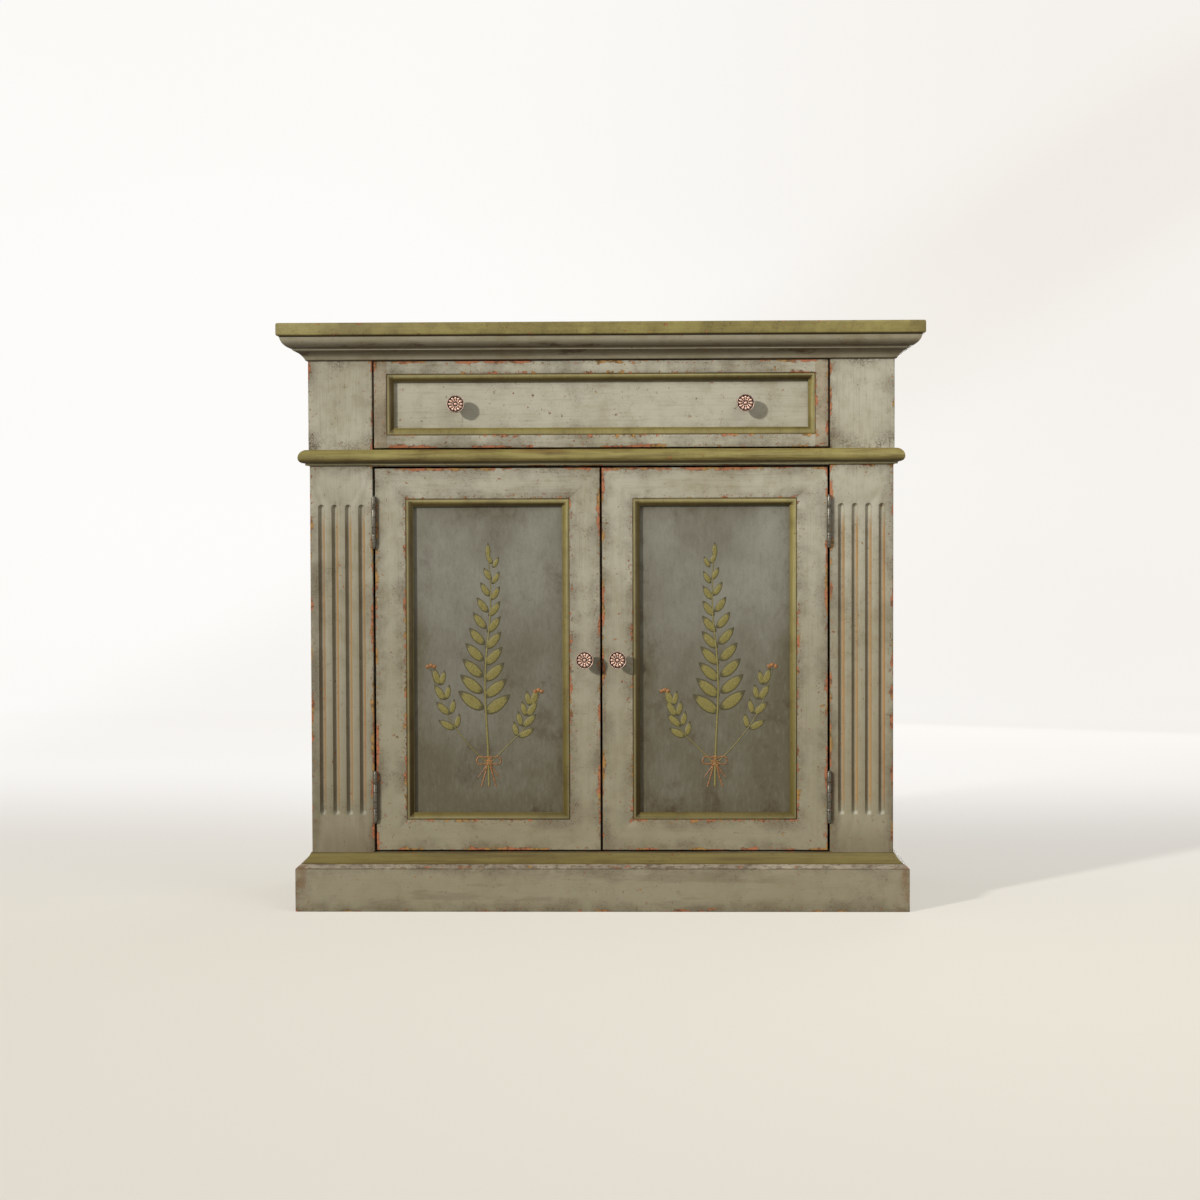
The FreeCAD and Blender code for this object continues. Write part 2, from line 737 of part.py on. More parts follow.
def make_drawer_box():
    """Grooved sides, a box front, a back that stands on the bottom, and the bottom."""
    groove_low = S.drawer_bottom_lift
    groove_high = groove_low + S.drawer_bottom_thick
    runner_low = RUNNER_LOW - DRAWER_SIDE_LOW - S.runner_play
    runner_high = runner_low + S.runner_high + S.runner_play * 2
    runner_deep = S.drawer_side_thick - S.runner_projection
    high = S.drawer_side_high
    section = [
        (ZERO, ZERO),
        (S.drawer_side_thick, ZERO),
        (S.drawer_side_thick, runner_low),
        (runner_deep, runner_low),
        (runner_deep, runner_high),
        (S.drawer_side_thick, runner_high),
        (S.drawer_side_thick, high),
        (ZERO, high),
        (ZERO, groove_high),
        (S.drawer_groove_deep, groove_high),
        (S.drawer_groove_deep, groove_low),
        (ZERO, groove_low),
    ]
    for where, side in SIDES.items():
        label = f"drawer_side_{where}"
        body = new_body(label)
        points = section if side > 0 else [(-x, z) for x, z in reversed(section)]
        profile = outline(body, label + "_section", "XZ_Plane", points, -DRAWER_BOX_BACK)
        pad(body, label + "_board", profile, DRAWER_BOX_BACK - DRAWER_FRONT_BACK)
        keep(label, place(body, (DRAWER_SIDE_INNER * side, ZERO, DRAWER_SIDE_LOW)))
    across = (-DRAWER_SIDE_INNER, DRAWER_SIDE_INNER)
    bottom_low = DRAWER_SIDE_LOW + S.drawer_bottom_lift
    bottom_top = bottom_low + S.drawer_bottom_thick
    top = DRAWER_SIDE_LOW + S.drawer_side_high
    box_front = (DRAWER_FRONT_BACK, DRAWER_FRONT_BACK + S.drawer_side_thick)
    box_back = (DRAWER_BOX_BACK - S.drawer_side_thick, DRAWER_BOX_BACK)
    bottom_half = DRAWER_SIDE_INNER + S.drawer_groove_deep
    keep("drawer_box_front", box("drawer_box_front", across, box_front, (bottom_top, top)))
    keep("drawer_back", box("drawer_back", across, box_back, (bottom_top, top)))
    bottom_deep = (DRAWER_FRONT_BACK, DRAWER_BOX_BACK)
    bottom_across = (-bottom_half, bottom_half)
    keep("drawer_bottom", box("drawer_bottom", bottom_across, bottom_deep, (bottom_low, bottom_top)))


def make_drawer_guides():
    """Upright guide boards on the dust panel, each with the tongue that the drawer runs on."""
    thick = S.board_thick
    tongue = S.side_play + S.runner_projection - S.runner_play
    low = RUNNER_LOW - DUST_TOP
    section = [
        (ZERO, ZERO),
        (thick, ZERO),
        (thick, S.guide_height),
        (ZERO, S.guide_height),
        (ZERO, low + S.runner_high),
        (-tongue, low + S.runner_high),
        (-tongue, low),
        (ZERO, low),
    ]
    for where, side in SIDES.items():
        label = f"drawer_guide_{where}"
        body = new_body(label)
        points = section if side > 0 else [(-x, z) for x, z in reversed(section)]
        profile = outline(body, label + "_section", "XZ_Plane", points, -BACK_PANEL_FRONT)
        pad(body, label + "_board", profile, BACK_PANEL_FRONT - FRAME_BACK)
        keep(label, place(body, (GUIDE_INNER * side, ZERO, DUST_TOP)))


def make_doors():
    """Two mitred frames with flat panels in rebates behind sunk mouldings."""
    rebate_line = S.door_frame_wide - S.panel_rebate
    rebate_high = S.door_thick - S.panel_recess
    profile = [
        (ZERO, ZERO),
        (rebate_line, ZERO),
        (rebate_line, rebate_high),
        (S.door_frame_wide, rebate_high),
        (S.door_frame_wide, S.door_thick - S.arris),
        (S.door_frame_wide - S.arris, S.door_thick),
        (S.arris, S.door_thick),
        (ZERO, S.door_thick - S.arris),
    ]
    for where, side in SIDES.items():
        left, right = mirrored(side, DOOR_INNER, DOOR_OUTER)
        frame = mitred_frame(
            f"frame_{where}", profile, S.door_frame_wide, left, right, DOOR_LOW, DOOR_TOP, DOOR_BACK
        )
        bottom, right_stile, top, left_stile = frame
        hinge_stile, meeting_stile = (
            (right_stile, left_stile) if side > 0 else (left_stile, right_stile)
        )
        keep(f"door_{where}_rail_bottom", bottom)
        keep(f"door_{where}_rail_top", top)
        keep(f"door_{where}_stile_hinge", hinge_stile)
        knob_spot = (
            (DOOR_INNER + S.door_frame_wide / 2) * side,
            FRONT,
            (DOOR_LOW + DOOR_TOP) / 2,
        )
        make_knob(f"door_{where}_knob", knob_spot)
        keep(f"door_{where}_stile_meeting", meeting_stile)
        edge = rebate_line + S.panel_play
        panel = box(
            f"door_{where}_panel",
            (left + edge, right - edge),
            (FRONT + S.panel_recess, FRONT + S.panel_recess + S.panel_thick),
            (DOOR_LOW + edge, DOOR_TOP - edge),
        )
        keep(f"door_{where}_panel", panel)
        inner = S.door_frame_wide
        sunk_moulding(
            f"door_{where}_moulding",
            S.panel_recess,
            left + inner,
            right - inner,
            DOOR_LOW + inner,
            DOOR_TOP - inner,
        )


def hinge_heights():
    """The middle heights of the lower and the upper hinge."""
    return (DOOR_LOW + S.hinge_inset, DOOR_TOP - S.hinge_inset)


def hinge_leaf(name, side, middle, on_door):
    """One leaf of a butt hinge: a plate with one or two knuckles bored for the pin."""
    gap = S.hinge_clearance
    end = S.hinge_long / 2
    inner_end = S.hinge_middle_long / 2
    plate_front = HINGE_AXIS_Y + S.hinge_barrel_radius + gap
    if on_door:
        knuckles = ((-inner_end + gap / 2, inner_end - gap / 2),)
        plate = mirrored(side, DOOR_OUTER, DOOR_OUTER + S.hinge_leaf_thick)
    else:
        knuckles = ((-end, -inner_end - gap / 2), (inner_end + gap / 2, end))
        plate = mirrored(side, OPENING_HALF - S.hinge_leaf_thick, OPENING_HALF)
    deep = (plate_front, plate_front + S.hinge_leaf_wide)
    pieces = [box(name + "_plate", plate, deep, (middle - end, middle + end))]
    for index, (low, high) in enumerate(knuckles):
        level = (middle + low, middle + high)
        spot = (HINGE_AXIS_X * side, HINGE_AXIS_Y, level[0])
        pieces.append(rod(f"{name}_knuckle_{index}", S.hinge_barrel_radius, spot, high - low))
        pieces.append(box(f"{name}_web_{index}", plate, (HINGE_AXIS_Y, plate_front), level))
    start = (HINGE_AXIS_X * side, HINGE_AXIS_Y, middle - end - S.overrun)
    bore = rod(name + "_bore", S.hinge_pin_radius + S.hinge_fit, start, (end + S.overrun) * 2)
    return cut(name, fuse(name + "_solid", pieces), [bore])


def hinge_pin(name, side, middle):
    """A pin whose ends stand out of the barrel."""
    reach = S.hinge_long / 2 + S.hinge_tip_high
    start = (HINGE_AXIS_X * side, HINGE_AXIS_Y, middle - reach)
    return rod(name, S.hinge_pin_radius, start, reach * 2)


def make_hinges():
    """Two butt hinges to a door, their barrels standing on the face over the gap."""
    case_leaves = []
    pins = []
    for where, side in SIDES.items():
        door_leaves = []
        for tag, middle in zip(("lower", "upper"), hinge_heights()):
            name = f"hinge_{where}_{tag}"
            case_leaves.append(hinge_leaf(name + "_case", side, middle, False))
            door_leaves.append(hinge_leaf(name + "_door", side, middle, True))
            pins.append(hinge_pin(name + "_pin", side, middle))
        label = f"door_{where}_hinge_leaves"
        keep(label, group(label, door_leaves))
    keep("hinge_case_leaves", group("hinge_case_leaves", case_leaves))
    keep("hinge_pins", group("hinge_pins", pins))


def make_catches():
    """Magnetic catches under the dust panel and the steel strikes that they hold."""
    catches = []
    for where, side in SIDES.items():
        middle = S.catch_offset * side
        catch = box(
            f"catch_{where}",
            (middle - S.catch_wide / 2, middle + S.catch_wide / 2),
            (FRAME_BACK, FRAME_BACK + S.catch_deep),
            (DUST_LOW - S.catch_high, DUST_LOW),
        )
        catches.append(catch)
        label = f"door_{where}_strike"
        height = (DUST_LOW - S.catch_high + DOOR_TOP) / 2
        strike = box(
            label,
            (middle - S.strike_wide / 2, middle + S.strike_wide / 2),
            (DOOR_BACK, DOOR_BACK + S.strike_thick),
            (height - S.strike_high / 2, height + S.strike_high / 2),
        )
        keep(label, strike)
    keep("door_catches", group("door_catches", catches))


def check_and_export():
    """Stops at any failed object or bad shape, then writes every sub-part."""
    doc.recompute()
    for thing in doc.Objects:
        if {"Invalid", "Error"} & set(thing.State):
            raise RuntimeError(f"{thing.Label} failed: {thing.State}")
    for label, piece in SOLIDS.items():
        shape = piece.Shape
        if shape.isNull() or not shape.isValid() or not shape.Solids:
            raise RuntimeError(f"{label} has no valid shape")
    os.makedirs("parts", exist_ok=True)
    for label, piece in SOLIDS.items():
        piece.Shape.exportStep(f"parts/{label}.step")
    print(len(SOLIDS), "sub-parts,", sum(len(p.Shape.Solids) for p in SOLIDS.values()), "solids")


make_tabletop()
make_side_panels()
make_case_boards()
make_shelf_cleats()
make_pilasters()
make_frieze_blocks()
make_outer_mouldings()
make_drawer()
make_drawer_guides()
make_doors()
make_hinges()
make_catches()
check_and_export()
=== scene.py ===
import json
import math
import random
from functools import partial, reduce

import bmesh
import bpy
from mathutils import Matrix, Vector, noise

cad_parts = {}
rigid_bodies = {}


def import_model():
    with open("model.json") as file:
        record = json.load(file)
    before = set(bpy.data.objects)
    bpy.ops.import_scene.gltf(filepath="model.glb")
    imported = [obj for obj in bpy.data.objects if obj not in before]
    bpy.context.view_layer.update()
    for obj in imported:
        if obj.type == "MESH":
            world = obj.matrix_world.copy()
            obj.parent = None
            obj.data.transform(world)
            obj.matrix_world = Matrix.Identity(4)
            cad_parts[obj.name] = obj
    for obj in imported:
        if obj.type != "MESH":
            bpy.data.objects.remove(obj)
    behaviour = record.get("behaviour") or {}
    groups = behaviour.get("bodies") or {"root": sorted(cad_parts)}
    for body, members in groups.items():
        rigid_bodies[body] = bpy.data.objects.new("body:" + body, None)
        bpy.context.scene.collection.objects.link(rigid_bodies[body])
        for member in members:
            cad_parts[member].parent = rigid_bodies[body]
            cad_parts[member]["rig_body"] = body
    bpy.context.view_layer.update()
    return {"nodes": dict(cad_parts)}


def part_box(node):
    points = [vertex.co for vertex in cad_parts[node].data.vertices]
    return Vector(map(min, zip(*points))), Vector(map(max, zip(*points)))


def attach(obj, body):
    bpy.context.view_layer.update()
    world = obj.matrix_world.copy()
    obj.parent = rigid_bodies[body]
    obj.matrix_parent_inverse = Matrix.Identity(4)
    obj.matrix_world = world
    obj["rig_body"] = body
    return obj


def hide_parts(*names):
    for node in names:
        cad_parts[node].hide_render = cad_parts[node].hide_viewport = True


bl_info = {
    "name": "Painted Sideboard",
    "version": (1, 0, 0),
    "blender": (4, 5, 0),
    "location": "View3D > Sidebar > Sideboard",
    "description": "Dresses a sideboard's boards, mouldings and metalwork in aged finishes",
    "category": "Object",
}

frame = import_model()
NODES = frame["nodes"]
SIDES = {"left": -1, "right": 1}

MERGE = 0.000001
SMOOTH_ANGLE = math.radians(32)
SHARP_ANGLE = math.radians(28)
FLAT_ANGLE = math.radians(0.5)
DENT_SPACING = 0.016
# How far edges are rubbed round: small metal and mouldings, the top, the inside, the drawer's box.
FINE_RUB = 0.0003
TOP_RUB = 0.0004
INSIDE_RUB = 0.0006
BOX_RUB = 0.0008
# Shares of the arris: for the carcass and the drawer's front, and for the doors' frames.
LIGHT_RUB = 0.4
DOOR_RUB = 0.5
RUNS = {"front": "X", "left": "Y", "right": "Y"}
KNOB_BOARDS = {
    "drawer_knob_left": "drawer_box_front",
    "drawer_knob_right": "drawer_box_front",
    "door_left_knob": "door_left_stile_meeting",
    "door_right_knob": "door_right_stile_meeting",
}


def linear(code):
    """A colour written as six hexadecimal digits, in linear light."""
    parts = [int(code[place : place + 2], 16) / 255 for place in (0, 2, 4)]
    return tuple(((p + 0.055) / 1.055) ** 2.4 if p > 0.04045 else p / 12.92 for p in parts)


def paint_colour(name, description, code):
    """A colour that a user can change in the panel."""
    return bpy.props.FloatVectorProperty(
        name=name, description=description, subtype="COLOR", min=0.0, max=1.0, default=linear(code)
    )


def length(name, description, metres):
    """A length that a user can change in the panel."""
    return bpy.props.FloatProperty(
        name=name, description=description, unit="LENGTH", min=0.0, precision=4, default=metres
    )


def share(name, description, value, most=1.0):
    """A share or a strength that a user can change in the panel."""
    return bpy.props.FloatProperty(
        name=name, description=description, min=0.0, max=most, default=value
    )


class SideboardColours(bpy.types.PropertyGroup):
    """The colours of the paints, woods and metals."""

    # The body and olive dark paints also give the painted shade that darkens the boards towards
    # their foot; the light greige also gives the painted highlights on the sunk mouldings' crests
    # and at the flutes' feet.
    body_light: paint_colour("Body, light", "Greige paint where it is cleanest", "BBB7A4")
    body_dark: paint_colour("Body, dark", "Greige paint where it has yellowed", "91876A")
    olive_light: paint_colour("Olive, light", "Olive paint of the mouldings", "9A8F54")
    olive_dark: paint_colour("Olive, dark", "Olive paint under glaze", "6E6231")
    slate_light: paint_colour("Panel, light", "Slate paint of the door panels", "908F83")
    slate_dark: paint_colour("Panel, dark", "Slate paint under glaze", "5F5946")
    # Glaze is also the colour of painted shade under the tabletop's edge, in the cornice's
    # hollows, under the belt's nose, inside the sunk mouldings, on the flutes' left walls and down
    # the left pilaster, and of painted shadow beside the hinges.
    glaze: paint_colour("Glaze", "Dark brown glaze left in quirks and corners", "3D2A10")
    terracotta: paint_colour("Terracotta", "The undercoat that shows in most chips", "B7714C")
    ochre: paint_colour("Ochre", "The second undercoat", "B08548")
    bare: paint_colour("Bare wood", "Dark wood in the deepest chips", "41301D")
    leaf: paint_colour("Leaf", "Green of the painted leaves", "867C3E")
    leaf_dark: paint_colour("Leaf, dark", "Green of the leaves' shaded edges", "3F391E")
    twig: paint_colour("Twig", "Brown of the painted twigs and berries", "A56E3C")
    inside: paint_colour("Inside wood", "Oiled softwood of the inside", "A98552")
    inside_dark: paint_colour("Inside grain", "Late wood of the inside", "7C5A32")
    ply: paint_colour("Plywood", "Face veneer of the back", "B89A6C")
    copper: paint_colour("Copper", "Rubbed metal of the knobs", "D8B3A0")
    pewter: paint_colour("Pewter", "Rubbed metal of the hinges", "6A665B")
    tarnish: paint_colour("Tarnish", "Dark patina in the hollows of metal", "231A13")
    floor: paint_colour("Floor", "Pale floor of the studio", "F8F3E7")
    wall: paint_colour("Backdrop", "Near-white backdrop of the studio", "FEFDFB")
    # The shaded backdrop colour is painted soft shade, laid in bands over the backdrop.
    dusk: paint_colour("Backdrop, shaded", "Where soft shade falls on the backdrop", "EFEAE2")
    shade: paint_colour("Bounce", "How the studio looks to light that only bounces", "7C786F")


class SideboardSizes(bpy.types.PropertyGroup):
    """The small sizes that the dressing adds to the boards."""

    arris: length("Arris", "How far a board's edges are rubbed round", 0.0011)
    moulding_arris: length("Moulding arris", "How far a moulding's edges are rubbed round", 0.0005)
    dent: length("Dents", "How deep the arrises are dented", 0.0005)
    flute_wear: share("Flute wear", "How many times as deep as cut the flutes are", 1.3, 1.4)
    relief: length("Relief", "How far the painted leaves stand off the panel", 0.0013)
    leaf: length("Leaf", "Length of the longest painted leaf", 0.05)
    screw_radius: length("Screw heads", "Radius of the hinge screws' heads", 0.0029)
    nail_radius: length("Nail heads", "Radius of the back's nail heads", 0.0022)


class SideboardStudio(bpy.types.PropertyGroup):
    """The lamps and the camera."""

    key: share("Key", "Strength of the low light from the left", 2.3, 20.0)
    key_angle: bpy.props.FloatProperty(
        name="Key size",
        description="Angular size of the key, which softens its shadows",
        subtype="ANGLE",
        default=math.radians(4),
    )
    top_fill: share("Top fill", "Power of the lamp high over the front", 6.0, 500.0)
    side_fill: share("Side fill", "Power of the lamp far to the right", 9.0, 500.0)
    back_fill: share("Back fill", "Power of the lamp behind", 28.0, 500.0)
    sky: share("Sky", "Strength of the even light from all round", 0.4, 5.0)
    lens: bpy.props.FloatProperty(
        name="Lens", description="Focal length of the camera", unit="CAMERA", default=67.317
    )


def seeds(word):
    """A shift of the pattern that differs from piece to piece."""
    draw = random.Random(word)
    return tuple(draw.uniform(-9.0, 9.0) for _ in range(3))


class Field:
    """A number that varies over a surface, used in plain arithmetic."""

    def __init__(self, finish, socket):
        self.finish = finish
        self.socket = socket

    def _of(self, operation, first, second=0.0):
        made = self.finish.node("ShaderNodeMath", {"operation": operation}, {0: first, 1: second})
        return Field(self.finish, made.outputs[0])

    def __add__(self, other):
        return self._of("ADD", self, other)

    def __sub__(self, other):
        return self._of("SUBTRACT", self, other)

    def __rsub__(self, other):
        return self._of("SUBTRACT", other, self)

    def __mul__(self, other):
        return self._of("MULTIPLY", self, other)

    def __truediv__(self, other):
        return self._of("DIVIDE", self, other)

    def __abs__(self):
        return self._of("ABSOLUTE", self)

    __radd__ = __add__
    __rmul__ = __mul__

    def most(self, other):
        return self._of("MAXIMUM", self, other)

    def least(self, other):
        return self._of("MINIMUM", self, other)

    def rise(self, low, high):
        """Nought below low, one above high, and a soft step between them."""
        made = self.finish.node(
            "ShaderNodeMapRange",
            {"interpolation_type": "SMOOTHSTEP"},
            {"Value": self, "From Min": low, "From Max": high},
        )
        return Field(self.finish, made.outputs[0])

    def fall(self, low, high):
        """One below low and nought above high."""
        return 1.0 - self.rise(low, high)


class Finish:
    """A material, or a world, its nodes, and the colour that its coats have made so far."""

    def __init__(self, name, world=None):
        self.material = world or bpy.data.materials.new(name)
        self.material.use_nodes = True
        self.tree = self.material.node_tree
        self.tree.nodes.clear()
        self.place = self.node("ShaderNodeTexCoord").outputs["Object"]
        parted = self.node("ShaderNodeSeparateXYZ", None, {0: self.place})
        self.axes = [Field(self, socket) for socket in parted.outputs]
        self.colours = bpy.context.scene.sideboard_colours
        self.colour = None

    def node(self, kind, settings=None, inputs=None):
        """Adds a node, with its settings first and then its sockets' values or links."""
        made = self.tree.nodes.new(kind)
        for setting, value in (settings or {}).items():
            setattr(made, setting, value)
        for socket, value in (inputs or {}).items():
            plug = value.socket if isinstance(value, Field) else value
            if isinstance(plug, bpy.types.NodeSocket):
                self.tree.links.new(plug, made.inputs[socket])
            else:
                made.inputs[socket].default_value = plug
        return made

    def noise(self, scale, detail=2.0, roughness=0.5, stretch=(1, 1, 1), shift=(0, 0, 0)):
        """Cloudy noise with that many lumps to the metre, drawn out where stretch is small."""
        moved = self.node(
            "ShaderNodeMapping", None, {"Vector": self.place, "Scale": stretch, "Location": shift}
        )
        sockets = {"Vector": moved.outputs[0], "Scale": scale, "Detail": detail}
        made = self.node("ShaderNodeTexNoise", None, {**sockets, "Roughness": roughness})
        return Field(self, made.outputs[0])

    def tone(self, colour):
        """A colour by its name in the panel, or a socket as it is."""
        return (*getattr(self.colours, colour), 1.0) if isinstance(colour, str) else colour

    def blend(self, first, second, amount):
        """A colour part of the way from the first to the second."""
        ends = {6: self.tone(first), 7: self.tone(second)}
        made = self.node("ShaderNodeMix", {"data_type": "RGBA"}, {0: amount, **ends})
        return made.outputs[2]

    def start(self, first, second, amount):
        """Sets the colour that coats go over."""
        self.colour = self.blend(first, second, amount)

    def coat(self, colour, amount):
        """Lays a colour over what is there."""
        self.colour = self.blend(self.colour, colour, amount)

    def seen(self):
        """One where the camera sees a thing, directly or in a shiny or clear surface."""
        rays = self.node("ShaderNodeLightPath").outputs
        names = ("Is Camera Ray", "Is Glossy Ray", "Is Transmission Ray")
        first, second, third = (Field(self, rays[name]) for name in names)
        return (first + second + third).least(1.0)

    def surface(self, roughness, bump, depth, **constants):
        """Ends the finish in a shader; constants are sockets that are the same all over."""
        relief = self.node("ShaderNodeBump", None, {"Height": bump, "Distance": depth})
        sockets = {"Base Color": self.colour, "Roughness": roughness, "Normal": relief.outputs[0]}
        sockets.update({name.replace("_", " "): value for name, value in constants.items()})
        shader = self.node("ShaderNodeBsdfPrincipled", None, sockets)
        self.node("ShaderNodeOutputMaterial", None, {"Surface": shader.outputs[0]})
        return self.material


def from_arrises(axes, low, high):
    """How far a point of a board lies from its edges that run along X, Y and Z."""
    inside = []
    for place, near, far in zip(axes, low, high):
        inside.append((far - near) / 2 - abs(place - (near + far) / 2))
    across, deep, up = inside
    return deep.most(up), across.most(up), across.most(deep)


def from_rim(axes, low, high):
    """How far a point of a front lies from the rim of an upright rectangle."""
    across, _, up = (
        abs(place - (near + far) / 2) - (far - near) / 2
        for place, near, far in zip(axes, low, high)
    )
    return abs(across.most(up))


CHIP_STRETCH = {"X": (0.4, 1, 1), "Y": (1, 0.4, 1), "Z": (1, 1, 0.4), "none": (0.8, 0.8, 0.8)}
CHIP_REACH = 0.0085
GRAIN_STRETCH = {"X": (0.05, 1, 1), "Y": (1, 0.05, 1), "Z": (1, 1, 0.05)}
PAINT_GLOSS = 0.35


def painted(name, paint, pattern, grain="Z", boxes=(), rims=(), wear=1.0, soil=0.3, overlay=None):
    """Aged matt paint, chipped to its undercoats along arrises and rims."""
    finish = Finish(name)
    axes = finish.axes
    shift = seeds(pattern)
    other = shift[::-1]

    cloud = finish.noise(6, 3, 0.55, shift=shift)
    mottle = finish.noise(48, 4, 0.65, shift=shift)
    strokes = finish.noise(300, 3, 0.6, GRAIN_STRETCH[grain], shift)
    uneven = cloud.rise(0.4, 0.68) * 0.38 + mottle.rise(0.42, 0.7) * 0.24
    uneven = uneven + strokes.rise(0.45, 0.75) * 0.3
    finish.start(f"{paint}_light", f"{paint}_dark", uneven)
    # Darker towards the foot: painted shade for the dimmer light low down, and partly yellowed
    # paint.
    low_shade_and_yellowing = axes[2].fall(0.02, 0.76)
    finish.coat(f"{paint}_dark", low_shade_and_yellowing * 0.72)
    if overlay:
        overlay(finish, axes)

    stain = finish.noise(14, 5, 0.65, shift=other)
    # Dirt where the stains gather, with a little of the painted shade low down.
    dirt_and_low_shade = stain.rise(0.5, 0.75) * soil * 0.9 + low_shade_and_yellowing * 0.2
    crowd = stain.rise(0.53, 0.66) * 0.6
    ticks = finish.noise(230, 3, 0.7, shift=other) - 0.708
    patch = finish.noise(13, 2, 0.6, shift=shift).rise(0.42, 0.6)
    edges = [("none", from_rim(axes, *rim), wear * 0.7) for rim in rims]
    for box in boxes:
        edges += [(*edge, wear) for edge in zip("XYZ", from_arrises(axes, *box))]
    gaps = [finish.noise(82, 4, 0.7, shift=other) - 0.688]
    for along, distance, worn in edges:
        ragged = finish.noise(120, 4, 0.68, CHIP_STRETCH[along], shift)
        reach = distance.fall(0.0, CHIP_REACH) * (patch * 0.19 + 0.05) * worn
        gaps.append(ragged - 0.72 + reach)
    if edges:
        nearest = reduce(Field.least, [distance for _, distance, _ in edges])
        dirt_and_low_shade = dirt_and_low_shade + nearest.fall(0.0, 0.028) * stain.rise(0.38, 0.6) * 0.6
        dirt_and_low_shade = dirt_and_low_shade + nearest.fall(0.0004, 0.0014) * mottle.rise(0.3, 0.55) * 0.5
        crowd = crowd + nearest.fall(0.003, 0.02) * mottle.rise(0.42, 0.62) * 0.8
        ticks = ticks + nearest.fall(0.003, 0.011) * 0.06 * wear
    broken = reduce(Field.most, [*gaps, ticks])
    finish.coat("glaze", dirt_and_low_shade.least(0.8) * 0.55)

    flecks = finish.noise(460, 2, 0.5, shift=shift).rise(0.57, 0.63)
    finish.coat("glaze", flecks * crowd.least(1.0) * 0.5)
    crease = abs(finish.noise(70, 3, 0.6, shift=shift) - 0.63).fall(0.0, 0.01)
    crease = crease * stain.rise(0.45, 0.52) * finish.noise(150, 2, 0.5).rise(0.48, 0.54)
    finish.coat("glaze", crease * 0.6)
    finish.coat("glaze", broken.rise(-0.03, 0.0) * 0.5)

    chip = broken.rise(0.0, 0.008)
    tint = finish.noise(31, 1, 0.5, shift=other)
    under = finish.blend("terracotta", "ochre", tint.rise(0.49, 0.58))
    deep = finish.noise(150, 3, 0.6, shift=other).rise(0.5, 0.58)
    finish.coat(finish.blend(under, "bare", deep * 0.65), chip * 0.85)
    height = strokes * 0.3 + mottle * 0.35 - chip * 0.9 - crease * 0.4
    rough = chip * 0.2 + mottle * 0.2 + 0.42
    return finish.surface(rough, height, 0.0003, Specular_IOR_Level=PAINT_GLOSS)


def mesh_of(node):
    """A merged copy of a CAD node's mesh, with its flat faces whole again."""
    mesh = bmesh.new()
    mesh.from_mesh(NODES[node].data)
    bmesh.ops.remove_doubles(mesh, verts=mesh.verts, dist=MERGE)
    bmesh.ops.dissolve_limit(mesh, angle_limit=FLAT_ANGLE, verts=mesh.verts, edges=mesh.edges)
    return mesh


def extent(points):
    """The lowest and highest corner of the box round some points."""
    low = Vector([min(point[axis] for point in points) for axis in range(3)])
    high = Vector([max(point[axis] for point in points) for axis in range(3)])
    return low, high


def solid_boxes(node):
    """The lowest and highest corners of each separate solid in a node, from the lowest up."""
    mesh = mesh_of(node)
    boxes = []
    left = set(mesh.verts)
    while left:
        group = [left.pop()]
        for vert in group:
            linked = {edge.other_vert(vert) for edge in vert.link_edges} & left
            left -= linked
            group.extend(linked)
        boxes.append(extent([vert.co for vert in group]))
    mesh.free()
    return sorted(boxes, key=lambda box: (round(box[0].z, 5), box[0].x))


def is_mitre(face):
    """Whether a face is a sawn mitre, which meets the next board and stays sharp."""
    sizes = sorted(abs(part) for part in face.normal)
    return sizes[0] < 0.02 and abs(sizes[1] - sizes[2]) < 0.05


def ease(mesh, radius):
    """Rubs the arrises round, except along the mitres."""
    sharp = [
        edge
        for edge in mesh.edges
        if edge.is_manifold
        and edge.calc_face_angle(0.0) > SHARP_ANGLE
        and not any(is_mitre(face) for face in edge.link_faces)
    ]
    kinds = {"offset_type": "OFFSET", "affect": "EDGES", "clamp_overlap": True, "material": -1}
    bmesh.ops.bevel(mesh, geom=sharp, offset=radius, segments=2, profile=0.5, **kinds)


def dent(mesh, depth, shift):
    """Cuts a board across at even steps and pushes its rubbed arrises in by uneven amounts."""
    low, high = extent([vert.co for vert in mesh.verts])
    for axis in range(3):
        direction = Vector([float(axis == one) for one in range(3)])
        for step in range(1, int((high[axis] - low[axis]) / DENT_SPACING)):
            whole = mesh.verts[:] + mesh.edges[:] + mesh.faces[:]
            cut = {"plane_co": direction * (low[axis] + step * DENT_SPACING), "dist": MERGE}
            bmesh.ops.bisect_plane(mesh, geom=whole, plane_no=direction, **cut)
    mesh.normal_update()
    for vert in mesh.verts:
        slant = sorted(abs(part) for part in vert.normal)[1]
        if slant > 0.2:
            push = noise.noise(vert.co * 65 + Vector(shift))
            vert.co -= vert.normal * depth * max(0.0, push)


def new_object(name, data):
    """An object of that data, placed in the scene."""
    made = bpy.data.objects.new(name, data)
    bpy.context.scene.collection.objects.link(made)
    return made


def smooth_object(mesh, name, finishes):
    """An object of a bmesh, shaded smooth."""
    data = bpy.data.meshes.new(name)
    mesh.to_mesh(data)
    mesh.free()
    for finish in finishes:
        data.materials.append(finish)
    for polygon in data.polygons:
        polygon.use_smooth = True
    return new_object(name, data)


def add_piece(mesh, name, nodes, finishes, body=None):
    """Makes a piece, set on its body, standing for the nodes that it replaces."""
    piece = smooth_object(mesh, name, finishes)
    piece.data.set_sharp_from_angle(angle=SMOOTH_ANGLE)
    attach(piece, body or NODES[nodes[0]]["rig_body"])
    if nodes:
        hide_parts(*nodes)


